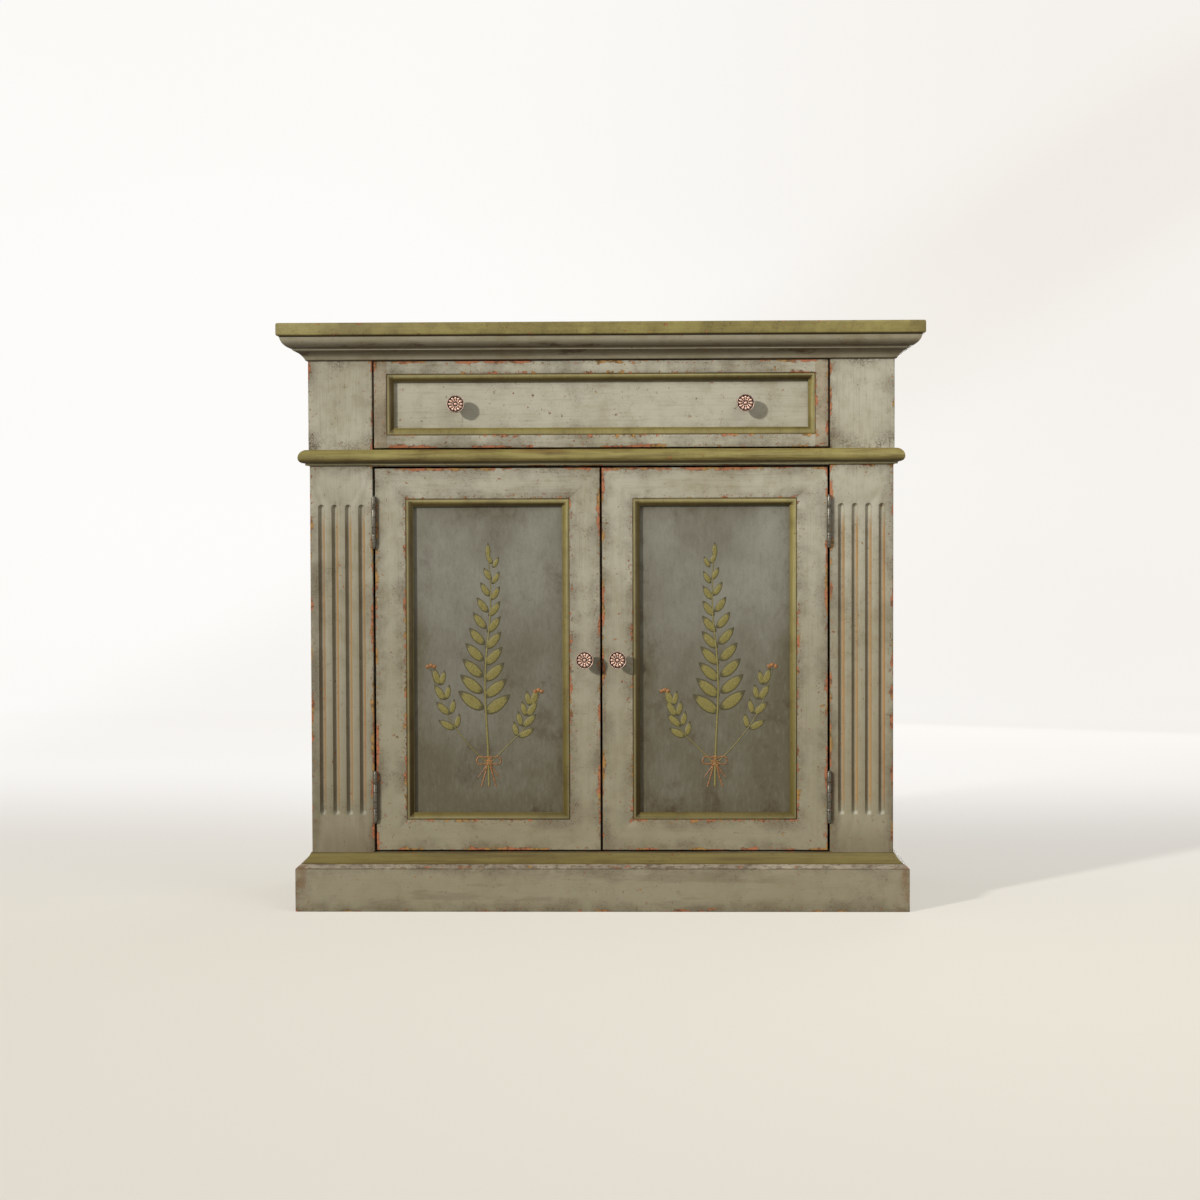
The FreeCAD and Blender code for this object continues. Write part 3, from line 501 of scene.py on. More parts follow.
def eased_board(node, finish, radius, rough=False):
    """A board as it is after years of use: its arrises rubbed round, and dented if rough."""
    mesh = mesh_of(node)
    ease(mesh, radius)
    if rough:
        dent(mesh, bpy.context.scene.sideboard_sizes.dent, seeds(node))
    add_piece(mesh, f"{node}_finished", [node], [finish])


def give_finish(node, finish):
    """Paints a CAD node that is kept as it is."""
    piece = NODES[node]
    if piece.material_slots:
        piece.material_slots[0].material = finish
    else:
        piece.data.materials.append(finish)


def paint_board(node, slot, radius, rough, paint, pattern, *look, **looks):
    """Eases a board and paints it; what follows the pattern is what painted takes."""
    finish = painted(f"{node}_paint", paint, pattern, *look, **looks)
    eased_board(node, finish, radius, rough)


def paint_moulding(kind, place, slot, paint, overlay, wear=0.4, soil=0.15):
    """Paints the front length of a moulding or one of its returns."""
    radius = bpy.context.scene.sideboard_sizes.moulding_arris
    look = {"wear": wear, "soil": soil, "overlay": overlay}
    paint_board(f"{kind}_{place}", slot, radius, False, paint, kind, RUNS[place], **look)


class SIDEBOARD_OT_top(bpy.types.Operator):
    """The tabletop, in olive paint rubbed along its edge"""

    bl_idname = "sideboard.top"
    bl_label = "Tabletop"

    def execute(self, context):
        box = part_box("tabletop")

        # A dark line along the tabletop's lower edge: partly the joint, partly painted shade under
        # the overhang.
        def painted_shading(finish, axes):
            finish.coat("glaze", (axes[2] - box[0].z).fall(0.0005, 0.0018) * 0.75)

        look = {"wear": 0.55, "soil": 0.15, "overlay": painted_shading}
        paint_board("tabletop", "top_paint", TOP_RUB, False, "olive", "top", "X", [box], **look)
        return {"FINISHED"}


class SIDEBOARD_OT_cornice(bpy.types.Operator):
    """The cornice, with painted shade in its hollows, mottled like dark glaze"""

    bl_idname = "sideboard.cornice"
    bl_label = "Cornice"

    def execute(self, context):
        low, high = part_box("cornice_front")

        def glaze_and_painted_shade(finish, axes):
            level = (axes[2] - low.z) / (high.z - low.z)
            # Painted shade where the ovolo turns under and in the upper cove, mottled; dark lines
            # at the joints and the quirk; the whole a little darker and browner.
            lobe = level.rise(0.515, 0.535) * level.fall(0.56, 0.86)
            hollow = level.rise(0.1, 0.27) * level.fall(0.41, 0.43)
            lines = level.fall(0.02, 0.05) + level.rise(0.94, 0.965)
            quirk = level.rise(0.495, 0.515) * level.fall(0.53, 0.55)
            stain = finish.noise(60, 4, 0.65, (0.25, 0.25, 1), seeds("glaze"))
            worn = stain.rise(0.52, 0.68) * 0.5 + 0.62
            shade = (lobe * 0.72 + hollow * 0.7) * worn + lines * 0.8 + quirk * 0.5 + 0.16
            finish.coat("twig", worn * 0.1)
            finish.coat("olive_light", 0.14)
            finish.coat("glaze", shade.least(0.9))

        for place in RUNS:
            paint_moulding("cornice", place, "cornice_paint", "body", glaze_and_painted_shade, 0.6, 0.5)
        return {"FINISHED"}


def block_grime(node, finish, axes):
    """Grime at the head and the foot of a frieze block."""
    low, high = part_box(node)
    shift = seeds(node)
    across = abs(axes[0] - (low.x + high.x) / 2) / (high.x - low.x)
    foot = (axes[2] - low.z - across * 0.05).fall(0.0, 0.045)
    head = (high.z - 0.036 + across * 0.05 - axes[2]).fall(0.0, 0.03)
    patches = finish.noise(40, 4, 0.65, shift=shift).rise(0.4, 0.56)
    specks = finish.noise(380, 3, 0.6, shift=shift).rise(0.42, 0.56)
    grime = (foot + head * 0.7) * patches * (specks * 0.75 + 0.15)
    finish.coat("glaze", grime.least(0.75))


class SIDEBOARD_OT_carcass(bpy.types.Operator):
    """The end boards, frieze blocks and rails, in greige paint"""

    bl_idname = "sideboard.carcass"
    bl_label = "Carcass"

    def execute(self, context):
        radius = context.scene.sideboard_sizes.arris * LIGHT_RUB
        for node in ("frieze_block_left", "frieze_block_right"):
            look = {"boxes": [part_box(node)], "wear": 1.25, "soil": 0.35}
            grime = partial(block_grime, node)
            paint_board(node, "body_paint", radius, True, "body", node, overlay=grime, **look)
        boards = {"side_panel_left": "Z", "side_panel_right": "Z"}
        boards.update(top_rail="X", middle_rail="X", bottom_rail="X")
        for node, grain in boards.items():
            look = {"grain": grain, "boxes": [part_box(node)], "soil": 0.35}
            paint_board(node, "body_paint", radius, True, "body", node, **look)
        return {"FINISHED"}


FLUTES = 4
FLUTE_PITCH = 0.021
FLUTE_FOOT = 0.148
FLUTE_HEAD = 0.63
FLUTE_MARGIN = 0.002
FLUTE_DEEPEST = 0.006


def hinge_middles():
    """The heights of the two hinges on a door."""
    heights = {round((low.z + high.z) / 2, 4) for low, high in solid_boxes("hinge_pins")}
    return sorted(heights)


def hinge_shadow_strip(axes, start):
    """A narrow strip on the right of the hinge barrels, where their shadow falls: the mask for
    painted shadow.
    """
    strip = (axes[0] - start).fall(0.006, 0.0095)
    levels = [abs(axes[2] - height).fall(0.034, 0.041) for height in hinge_middles()]
    return reduce(Field.most, levels) * strip


def flute_wear(node, finish, axes):
    """Flutes darker inside, worn to the undercoat on the right, with painted shade on the left
    walls and a painted highlight at the feet; patchy darkening at the foot; painted shade down the
    left pilaster; painted shadow by the right one's hinges.
    """
    low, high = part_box(node)
    shift = seeds(node)
    first = (low.x + high.x) / 2 - (FLUTES - 1) / 2 * FLUTE_PITCH
    across = [axes[0] - (first + index * FLUTE_PITCH) for index in range(FLUTES)]
    shaded = [one.rise(-0.0062, -0.0052) * one.fall(-0.0022, -0.0004) for one in across]
    worn = [one.rise(0.0006, 0.0024) * one.fall(0.0054, 0.006) for one in across]
    inside = reduce(Field.most, [abs(one).fall(0.0054, 0.006) for one in across])
    sunk = (axes[1] - low.y).rise(0.0002, 0.0014) * inside
    length = (axes[2] - FLUTE_FOOT - 0.01).rise(0.0, 0.02)
    length = length * (FLUTE_HEAD - axes[2]).rise(0.0, 0.04)
    patches = finish.noise(34, 3, 0.6, (1, 1, 0.14), shift).rise(0.3, 0.55)
    warm = finish.noise(22, 2, 0.5, (1, 1, 0.05), shift).rise(0.48, 0.6)
    under = finish.blend("ochre", "terracotta", warm * 0.4)
    under = finish.blend(under, "body_light", 0.1)
    lit = sunk * reduce(Field.most, worn)
    finish.coat("glaze", sunk * length * 0.12)
    finish.coat(under, lit * length * (patches * 0.5 + 0.4))
    # Painted shade on the flutes' left walls.
    finish.coat("glaze", sunk * reduce(Field.most, shaded) * (length * 0.2 + 0.12))
    # A painted highlight at the flutes' rounded feet.
    finish.coat("body_light", sunk * (axes[2] - FLUTE_FOOT).fall(0.004, 0.009) * 0.9)
    finish.coat("glaze", axes[2].fall(0.09, 0.15) * (patches * 0.6 + 0.4) * 0.3)
    # Painted shade down the whole left pilaster, more so low down; on the right one, painted
    # shadow beside the hinges.
    if node == "pilaster_left":
        finish.coat("glaze", axes[2].fall(0.1, 0.7) * 0.1 + 0.05)
    else:
        finish.coat("glaze", hinge_shadow_strip(axes, low.x) * 0.5)


class SIDEBOARD_OT_pilasters(bpy.types.Operator):
    """The fluted pilasters, their flutes rubbed to the undercoats, with painted shade and a
    painted highlight in them
    """

    bl_idname = "sideboard.pilasters"
    bl_label = "Pilasters"

    def execute(self, context):
        sizes = context.scene.sideboard_sizes
        for node in ("pilaster_left", "pilaster_right"):
            low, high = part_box(node)
            look = {"boxes": [(low, high)], "wear": 1.3, "overlay": partial(flute_wear, node)}
            finish = painted(f"{node}_paint", "body", node, **look)
            mesh = mesh_of(node)
            for vert in mesh.verts:
                within = low.x + FLUTE_MARGIN < vert.co.x < high.x - FLUTE_MARGIN
                depth = vert.co.y - low.y
                if within and MERGE * 10 < depth < FLUTE_DEEPEST:
                    vert.co.y = low.y + depth * sizes.flute_wear
            ease(mesh, sizes.arris * LIGHT_RUB)
            add_piece(mesh, f"{node}_finished", [node], [finish])
        return {"FINISHED"}


LIP = 0.0065


class SIDEBOARD_OT_belt_and_base(bpy.types.Operator):
    """The olive belt and cap, and the plinth with its worn lip"""

    bl_idname = "sideboard.belt_and_base"
    bl_label = "Belt, cap and plinth"

    def execute(self, context):
        belt_low, belt_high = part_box("belt_front")
        cap_low, cap_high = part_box("cap_front")
        low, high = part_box("plinth_front")
        fine_stretch = (0.05, 0.05, 1)

        def streaks_and_painted_shade(finish, axes):
            level = (axes[2] - belt_low.z) / (belt_high.z - belt_low.z)
            streak = finish.noise(75, 3, 0.6, (0.09, 0.09, 1), seeds("belt"))
            fine = finish.noise(240, 3, 0.6, fine_stretch, seeds("belt")).rise(0.42, 0.62)
            finish.coat("twig", streak.rise(0.46, 0.6) * level.rise(0.6, 0.9) * 0.3)
            finish.coat("body_light", level.fall(0.12, 0.15) * 0.35)
            # Painted shade in the quirk and under the nose, over streaks of glaze.
            quirk = level.rise(0.13, 0.16) * level.fall(0.18, 0.24)
            under = level.rise(0.15, 0.2) * level.fall(0.2, 0.5)
            shade = quirk * 0.7 + under * 0.5 + streak.rise(0.45, 0.64) * 0.35 + fine * 0.25
            finish.coat("glaze", shade.least(0.85))

        def capped(finish, axes):
            level = (axes[2] - cap_low.z) / (cap_high.z - cap_low.z)
            streak = finish.noise(70, 3, 0.6, (0.06, 0.06, 1), seeds("cap"))
            fine = finish.noise(240, 3, 0.6, fine_stretch, seeds("cap")).rise(0.42, 0.62)
            lines = level.rise(0.86, 0.97) * 0.5 + level.fall(0.02, 0.1) * 0.45
            shade = streak.rise(0.48, 0.68) * 0.3 + fine * 0.2 + lines
            finish.coat("glaze", shade.least(0.8))

        def lipped(finish, axes):
            above = axes[2] - (high.z - LIP)
            worn = finish.noise(260, 4, 0.7, (0.3, 0.3, 1), seeds("lip"))
            pale = finish.blend("body_light", "twig", 0.18)
            pale = finish.blend(pale, "glaze", worn.rise(0.48, 0.6) * 0.6)
            finish.coat(pale, above.rise(0.0, 0.0008) * 0.8)
            finish.coat("glaze", abs(above).fall(0.0002, 0.0014) * worn.rise(0.3, 0.5) * 0.7)
            ends = (abs(axes[0]) - high.x).rise(-0.03, 0.0) * (axes[1] - low.y).fall(0.0, 0.03)
            cloud = finish.noise(60, 4, 0.7, (1, 1, 0.5), seeds("plinth"))
            rubbed = ends * cloud.rise(0.4, 0.6)
            finish.coat("twig", rubbed * 0.4)
            finish.coat("glaze", rubbed * 0.35)
            figure = finish.noise(30, 4, 0.65, (0.2, 0.2, 1), seeds("figure"))
            finish.coat("glaze", figure.rise(0.54, 0.64) * 0.2)

        box = (low, Vector((high.x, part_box("plinth_left")[1].y, high.z)))
        radius = context.scene.sideboard_sizes.arris
        for place, grain in RUNS.items():
            paint_moulding("belt", place, "olive_paint", "olive", streaks_and_painted_shade)
            paint_moulding("cap", place, "olive_paint", "olive", capped)
            look = {"grain": grain, "boxes": [box], "soil": 0.35, "overlay": lipped}
            paint_board(f"plinth_{place}", "plinth_paint", radius, True, "body", "plinth", **look)
        return {"FINISHED"}


def oiled_wood(name, grain, pattern):
    """Plain oiled softwood with its grain along one axis."""
    finish = Finish(name)
    along = (GRAIN_STRETCH[grain], seeds(pattern))
    bands = finish.noise(34, 3, 0.55, *along)
    rings = finish.noise(120, 2, 0.5, *along)
    pores = finish.noise(700, 1, 0.5, *along)
    finish.start("inside", "inside_dark", bands.rise(0.42, 0.62) * 0.7)
    finish.coat("inside_dark", rings.rise(0.52, 0.6) * 0.35)
    finish.coat("glaze", pores.rise(0.6, 0.7) * 0.25)
    return finish.surface(bands * 0.2 + 0.42, rings * 0.6 + pores * 0.4, 0.00025)


def add_wood(boards, radius):
    """Boards of oiled wood, each with the axis of its grain."""
    for node, grain in boards.items():
        eased_board(node, oiled_wood(f"{node}_wood", grain, node), radius)


class SIDEBOARD_OT_inside(bpy.types.Operator):
    """The floor, shelf, cleats, drawer guides and back, in plain wood"""

    bl_idname = "sideboard.inside"
    bl_label = "Inside"

    def execute(self, context):
        boards = {"bottom_panel": "X", "shelf": "X", "shelf_cleats": "Y", "dust_panel": "X"}
        boards.update(back_rail="X", drawer_guide_left="Y", drawer_guide_right="Y")
        add_wood(boards, INSIDE_RUB)
        finish = Finish("back_veneer")
        bands = finish.noise(16, 4, 0.6, (1, 1, 0.12), seeds("back"))
        pores = finish.noise(420, 1, 0.5, (1, 1, 0.05), seeds("back"))
        finish.start("ply", "inside_dark", bands.rise(0.45, 0.6) * 0.35)
        finish.coat("glaze", pores.rise(0.58, 0.7) * 0.2)
        give_finish("back_panel", finish.surface(0.6, pores, 0.0001))
        return {"FINISHED"}


class SIDEBOARD_OT_drawer(bpy.types.Operator):
    """The drawer front, its sunk moulding and the wooden box behind it"""

    bl_idname = "sideboard.drawer"
    bl_label = "Drawer"

    def execute(self, context):
        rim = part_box("drawer_moulding")
        edge = rim[1].x

        def warmed(finish, axes):
            outside = abs(axes[0]).rise(edge - 0.001, edge)
            finish.coat("terracotta", outside * 0.14)
            finish.coat("body_dark", outside * 0.45)
            finish.coat("glaze", from_rim(axes, *rim).fall(0.0004, 0.0014) * 0.6)

        node = "drawer_front"
        radius = context.scene.sideboard_sizes.arris * LIGHT_RUB
        look = {"boxes": [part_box(node)], "rims": [rim], "wear": 1.4, "overlay": warmed}
        paint_board(node, "body_paint", radius, True, "body", "drawer", "X", **look)
        add_sunk_moulding("drawer_moulding")
        boards = {"drawer_box_front": "X", "drawer_back": "X"}
        boards.update(drawer_side_left="Y", drawer_side_right="Y")
        add_wood(boards, BOX_RUB)
        give_finish("drawer_bottom", oiled_wood("drawer_bottom_wood", "X", "tray"))
        return {"FINISHED"}


def add_sunk_moulding(node):
    """The olive moulding round a sunk field, with painted shade along its inner side, deepest on
    the left and top members, a painted highlight on its crest, a dark line at its quirk and
    streaks of glaze.
    """
    low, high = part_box(node)

    def painted_shading(finish, axes):
        inward = from_rim(axes, low, high)
        crest = inward.rise(0.0012, 0.0022) * inward.fall(0.0035, 0.0055)
        left = (axes[0] - low.x).fall(0.0105, 0.0115)
        top = (high.z - axes[2]).fall(0.0105, 0.0115)
        # Painted shade down the inner side, deepest on the left and top members.
        inner = inward.rise(0.0045, 0.0095) * 0.3
        inner = inner.most(inward.rise(0.001, 0.006) * left * 0.72)
        inner = inner.most(inward.rise(0.003, 0.0085) * top * 0.75)
        streak = finish.noise(80, 3, 0.6, (0.3, 1, 0.3), seeds(node)).rise(0.5, 0.7)
        # A painted highlight along the crest.
        finish.coat("body_light", crest * 0.14)
        dark = inward.fall(0.0007, 0.0016) * 0.75 + inner + streak * 0.18
        finish.coat("glaze", dark.least(0.85))

    look = {"wear": 0.4, "soil": 0.15, "overlay": painted_shading}
    paint_board(node, "olive_paint", FINE_RUB, False, "olive", node, **look)


def slate_paint(node, low, high):
    """Brushed slate paint, darker towards its edges and its foot."""
    finish = Finish(f"{node}_paint")
    axes = finish.axes
    shift = seeds(node)
    cloud = finish.noise(9, 5, 0.62, (1, 1, 0.7), shift)
    strokes = finish.noise(260, 4, 0.6, (1, 1, 0.28), shift)
    weave = finish.noise(520, 2, 0.6, (1, 1, 0.5), shift)
    smears = finish.noise(17, 5, 0.72, (1, 1, 0.8), shift[::-1]).rise(0.5, 0.68)
    edge = from_rim(axes, low, high).fall(0.008, 0.05)
    foot = ((axes[2] - low.z) / (high.z - low.z)).fall(0.0, 0.95)
    core = abs(axes[0] - (low.x + high.x) / 2).fall(0.01, 0.09) * foot.fall(0.0, 0.1) * 0.3
    centre = abs(foot - 0.45).fall(0.0, 0.35) * 0.12
    shade = cloud.rise(0.35, 0.7) * 0.4 + edge * 0.25 + foot * 0.75 + core + centre
    finish.start("slate_light", "slate_dark", shade.least(1.0))
    finish.coat("body_light", strokes.rise(0.5, 0.72) * 0.07)
    finish.coat("glaze", strokes.fall(0.3, 0.48) * 0.14)
    finish.coat("glaze", weave.rise(0.5, 0.72) * 0.14)
    finish.coat("glaze", smears * (foot * 0.34 + edge * 0.3 + 0.12))
    height = strokes * 0.6 + weave * 0.3
    return finish.surface(strokes * 0.15 + 0.45, height, 0.0002, Specular_IOR_Level=PAINT_GLOSS)


class SIDEBOARD_OT_doors(bpy.types.Operator):
    """Both doors: framed in greige, with olive mouldings and slate panels"""

    bl_idname = "sideboard.doors"
    bl_label = "Doors"

    def execute(self, context):
        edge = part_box("door_left_stile_hinge")[0].x

        # Painted shadow of the hinge barrels on the left door's hinge stile.
        def barrel_shadow(finish, axes):
            finish.coat("glaze", hinge_shadow_strip(axes, edge) * 0.5)

        frame_parts = {"X": ("rail_bottom", "rail_top"), "Z": ("stile_hinge", "stile_meeting")}
        for where in SIDES:
            door = f"door_{where}"
            members = [f"{door}_{part}" for parts in frame_parts.values() for part in parts]
            box = extent([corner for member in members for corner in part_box(member)])
            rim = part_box(f"{door}_moulding")
            for grain, parts in frame_parts.items():
                name = f"{door}_paint_{grain}"
                finish = painted(name, "body", door, grain, [box], [rim], 1.6, overlay=barrel_shadow)
                for part in parts:
                    radius = context.scene.sideboard_sizes.arris * DOOR_RUB
                    eased_board(f"{door}_{part}", finish, radius, rough=True)
            add_sunk_moulding(f"{door}_moulding")
            panel = f"{door}_panel"
            give_finish(panel, slate_paint(panel, *rim))
        return {"FINISHED"}


PAIRS = 10
SIDE_PAIRS = 4
BERRIES = 3
SPRIG_HEIGHT = 0.78
SPRIG_FOOT = 0.105
HANDS = (-1, 1)
# Lines of the tie: across in metres, up as a share of the tie's height, and thickness.
BOW = ((0, 0.85, 0.8), (0.014, 1.05, 0.9), (0.021, 0.8, 0.8), (0.012, 0.66, 0.8), (0, 0.8, 0.8))
TAIL = ((0, 0.8, 0.8), (0.008, 0.5, 0.8), (0.017, 0.28, 0.4))


def leaf_paint(name, front):
    """Brushed green, dark where the leaf dips to the panel."""
    finish = Finish(name)
    sunk = (finish.axes[1] - front).rise(-0.0006, -0.0002)
    strokes = finish.noise(700, 3, 0.6)
    shade = sunk * 0.9 + strokes.rise(0.4, 0.66) * 0.4
    finish.start("leaf", "leaf_dark", shade.least(1.0))
    finish.coat("body_light", strokes.fall(0.28, 0.42) * 0.3)
    return finish.surface(strokes * 0.2 + 0.42, strokes, 0.0002)


def twig_paint(name):
    """Brushed brown of the twigs, the tie and the berries."""
    finish = Finish(name)
    strokes = finish.noise(330, 3, 0.6)
    finish.start("twig", "leaf_dark", strokes.rise(0.4, 0.66) * 0.7)
    return finish.surface(strokes * 0.2 + 0.4, strokes, 0.0002)


def add_leaf(mesh, foot, angle, long, wide, proud, bend=0.0):
    """A low oval leaf with a crease down its middle, lying in the plane of the panel."""
    made = bmesh.ops.create_uvsphere(mesh, u_segments=12, v_segments=10, radius=1.0)
    along = Vector((math.sin(angle), 0, math.cos(angle)))
    across = Vector((along.z, 0, -along.x))
    for vert in made["verts"]:
        reach = (1 + vert.co.z) / 2
        taper = 1.28 * max(0.0, 1.0 - reach) ** 0.32 * max(0.0, reach) ** 0.12
        crease = 0.6 + 0.4 * min(1.0, abs(vert.co.x) * 2.2)
        side = vert.co.x * wide / 2 * taper + bend * long * reach * reach
        rise = vert.co.y * abs(vert.co.y) * proud * crease * min(1.0, taper * 1.1)
        vert.co = foot + along * reach * long + across * side + Vector((0, rise, 0))


def add_stem(mesh, line, thick, proud, material):
    """A stem along a smooth line of (x, z, share of its thickness), flattened on the panel."""
    curve = bpy.data.curves.new("stem_line", "CURVE")
    curve.dimensions = "3D"
    curve.bevel_depth = thick
    curve.bevel_resolution = 2
    curve.use_fill_caps = True
    curve.resolution_u = 6
    spline = curve.splines.new("NURBS")
    spline.points.add(len(line) - 1)
    spline.use_endpoint_u = True
    spline.order_u = 3
    for point, (x, z, share_left) in zip(spline.points, line):
        point.co = (x, 0.0, z, 1.0)
        point.radius = share_left
    holder = bpy.data.objects.new("stem_line", curve)
    data = bpy.data.meshes.new_from_object(holder)
    before = set(mesh.faces)
    mesh.from_mesh(data)
    made = [face for face in mesh.faces if face not in before]
    verts = {vert for face in made for vert in face.verts}
    flat = Matrix.Diagonal((1.0, proud / thick, 1.0))
    bmesh.ops.transform(mesh, matrix=flat.to_4x4(), verts=list(verts))
    for face in made:
        face.material_index = material
    bpy.data.objects.remove(holder)
    bpy.data.curves.remove(curve)
    bpy.data.meshes.remove(data)


def sprig_mesh(tall, leaf, proud, side):
    """A tied upright spray: paired leaves on one stem, and a berried twig on either hand."""
    mesh = bmesh.new()
    tie = tall * 0.12
    sway = tall * 0.02 * side

    def draw(line, thick, raised=1.0, material=0):
        add_stem(mesh, line, thick, proud * raised, material)

    def set_leaf(x, z, angle, long, wide, bend=0.0):
        add_leaf(mesh, Vector((x, 0, z)), angle, leaf * long, leaf * wide, proud, bend)

    stem = [(0, 0, 1.0), (0, tie, 1.0), (sway, tall * 0.45, 0.8), (-sway, tall * 0.75, 0.6)]
    draw([*stem, (0, tall * 0.93, 0.4)], 0.0018)
    for index in range(PAIRS):
        share_up = index / (PAIRS - 1)
        height = tall * (0.3 + 0.58 * share_up)
        swayed = sway * math.sin((height / tall - 0.12) * math.tau * 0.9)
        long = 1.0 - 0.6 * share_up
        angle = math.radians(62 - 26 * share_up)
        for hand in HANDS:
            foot = height + hand * side * leaf * 0.06
            set_leaf(swayed, foot, hand * angle, long, long * 0.42, -hand * 0.12)
    set_leaf(0, tall * 0.91, 0.0, 0.5, 0.18)
    for hand in HANDS:
        reach, high = (0.23, 0.46) if hand == side else (0.2, 0.36)
        reach, high = hand * reach * tall, high * tall
        tip = (reach, high, 0.4)
        twig = [(0, tie * 0.7, 0.8), (reach * 0.35, tie * 1.3, 0.7)]
        draw([*twig, (reach * 0.85, high * 0.7, 0.55), tip], 0.0012, 0.9)
        for index in range(SIDE_PAIRS):
            share_up = 0.32 + index * 0.17
            spot = (reach * (0.42 + share_up * 0.5), tie + (high - tie) * share_up)
            set_leaf(*spot, hand * math.radians(72 - 14 * index), 0.6, 0.25, -hand * 0.15)
            set_leaf(*spot, -hand * math.radians(20), 0.5, 0.21, hand * 0.1)
        for index in range(BERRIES):
            angle = math.radians(-40 + 40 * index)
            x, z = reach + math.sin(angle) * 0.008, high + math.cos(angle) * 0.009
            draw([tip, (x, z, 0.4)], 0.001, 0.7)
            add_ball(mesh, (0.0034, proud * 1.2, 0.0034), (x, 0, z), 1, 12, 6)
        for line, raised in ((BOW, 1.0), (TAIL, 0.9)):
            draw([(hand * x, tie * z, thin) for x, z, thin in line], 0.0012, raised, 1)
    for index in range(-1, 2):
        foot = [(index * 0.012, -tall * 0.005, 0.6), (index * 0.004, tie * 0.45, 0.9)]
        draw([*foot, (0, tie, 0.9)], 0.0015, 1.0, 1)
    for index in range(3):
        level = tie * (0.7 + 0.13 * index)
        ends = [(x, level - 0.001, 0.9) for x in (-0.005, 0.005)]
        draw([ends[0], (0.0, level + 0.001, 1.0), ends[1]], 0.0015, 1.3, 1)
    bmesh.ops.recalc_face_normals(mesh, faces=mesh.faces)
    return mesh


class SIDEBOARD_OT_sprigs(bpy.types.Operator):
    """A plain tied spray of leaves and berries, raised a little on each door's panel"""

    bl_idname = "sideboard.sprigs"
    bl_label = "Sprigs"

    def execute(self, context):
        sizes = context.scene.sideboard_sizes
        for where, side in SIDES.items():
            low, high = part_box(f"door_{where}_moulding")
            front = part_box(f"door_{where}_panel")[0].y
            tall = (high.z - low.z) * SPRIG_HEIGHT
            mesh = sprig_mesh(tall, sizes.leaf, sizes.relief, side)
            foot = low.z + (high.z - low.z) * SPRIG_FOOT
            spot = ((low.x + high.x) / 2, front, foot)
            bmesh.ops.translate(mesh, verts=mesh.verts, vec=spot)
            green = leaf_paint(f"sprig_{where}_green", front)
            brown = twig_paint(f"sprig_{where}_brown")
            name = f"door_{where}_sprig"
            add_piece(mesh, name, [], [green, brown], f"door_{where}")
        return {"FINISHED"}


def rubbed_metal(name, bright, scale):
    """Cast metal, rubbed bright where it stands out and dark in its hollows."""
    finish = Finish(name)
    worn = finish.noise(scale, 3, 0.6)
    finish.start(bright, "tarnish", worn.rise(0.46, 0.7) * 0.65)
    return finish.surface(worn * 0.3 + 0.2, worn, 0.0001, Metallic=0.75)


def dark_metal(name):
    """The same metal under its patina."""
    finish = Finish(name)
    worn = finish.noise(700, 2, 0.6)
    finish.start("tarnish", "copper", worn.rise(0.58, 0.8) * 0.15)
    return finish.surface(0.5, worn, 0.0001, Metallic=0.3)


def turned(outline, steps):
    """A turned form: an outline of (radius, height) pairs spun round the Z axis."""
    mesh = bmesh.new()
    verts = [mesh.verts.new((radius, 0.0, height)) for radius, height in outline]
    edges = [mesh.edges.new(pair) for pair in zip(verts, verts[1:])]
    spin = {"cent": (0, 0, 0), "axis": (0, 0, 1), "dvec": (0, 0, 0), "angle": math.tau}
    bmesh.ops.spin(mesh, geom=verts + edges, steps=steps, use_merge=True, **spin)
    bmesh.ops.remove_doubles(mesh, verts=mesh.verts, dist=MERGE * 10)
    bmesh.ops.recalc_face_normals(mesh, faces=mesh.faces)
    return mesh


def add_ball(mesh, radii, place, material, segments=16, rings=8, turn=None):
    """A smooth ball squashed to three radii."""
    made = bmesh.ops.create_uvsphere(mesh, u_segments=segments, v_segments=rings, radius=1.0)
    turn = turn or Matrix.Identity(3)
    faces = set()
    for vert in made["verts"]:
        vert.co = turn @ (vert.co * Vector(radii)) + Vector(place)
        faces.update(vert.link_faces)
    for face in faces:
        face.material_index = material


PETALS = 12
KNOB_STEPS = 64
KNOB_FACE = 0.955
KNOB_DISH = 0.885
# Shares of the knob's radius and of its height, from the middle of its foot to that of its dish.
KNOB_OUTLINE = (
    *((0.0, 0.0), (0.56, 0.0), (0.6, 0.03), (0.56, 0.07), (0.4, 0.12), (0.33, 0.25)),
    *((0.34, 0.42), (0.5, 0.58), (0.82, 0.7), (0.96, 0.76), (1.0, 0.82), (1.0, 0.88)),
    (0.985, KNOB_FACE - 0.012),
    (0.955, KNOB_FACE),
    (0.925, KNOB_FACE - 0.01),
    (0.9, KNOB_DISH),
    (0.6, KNOB_DISH - 0.01),
    (0.16, KNOB_DISH - 0.01),
    (0.0, KNOB_DISH - 0.01),
)


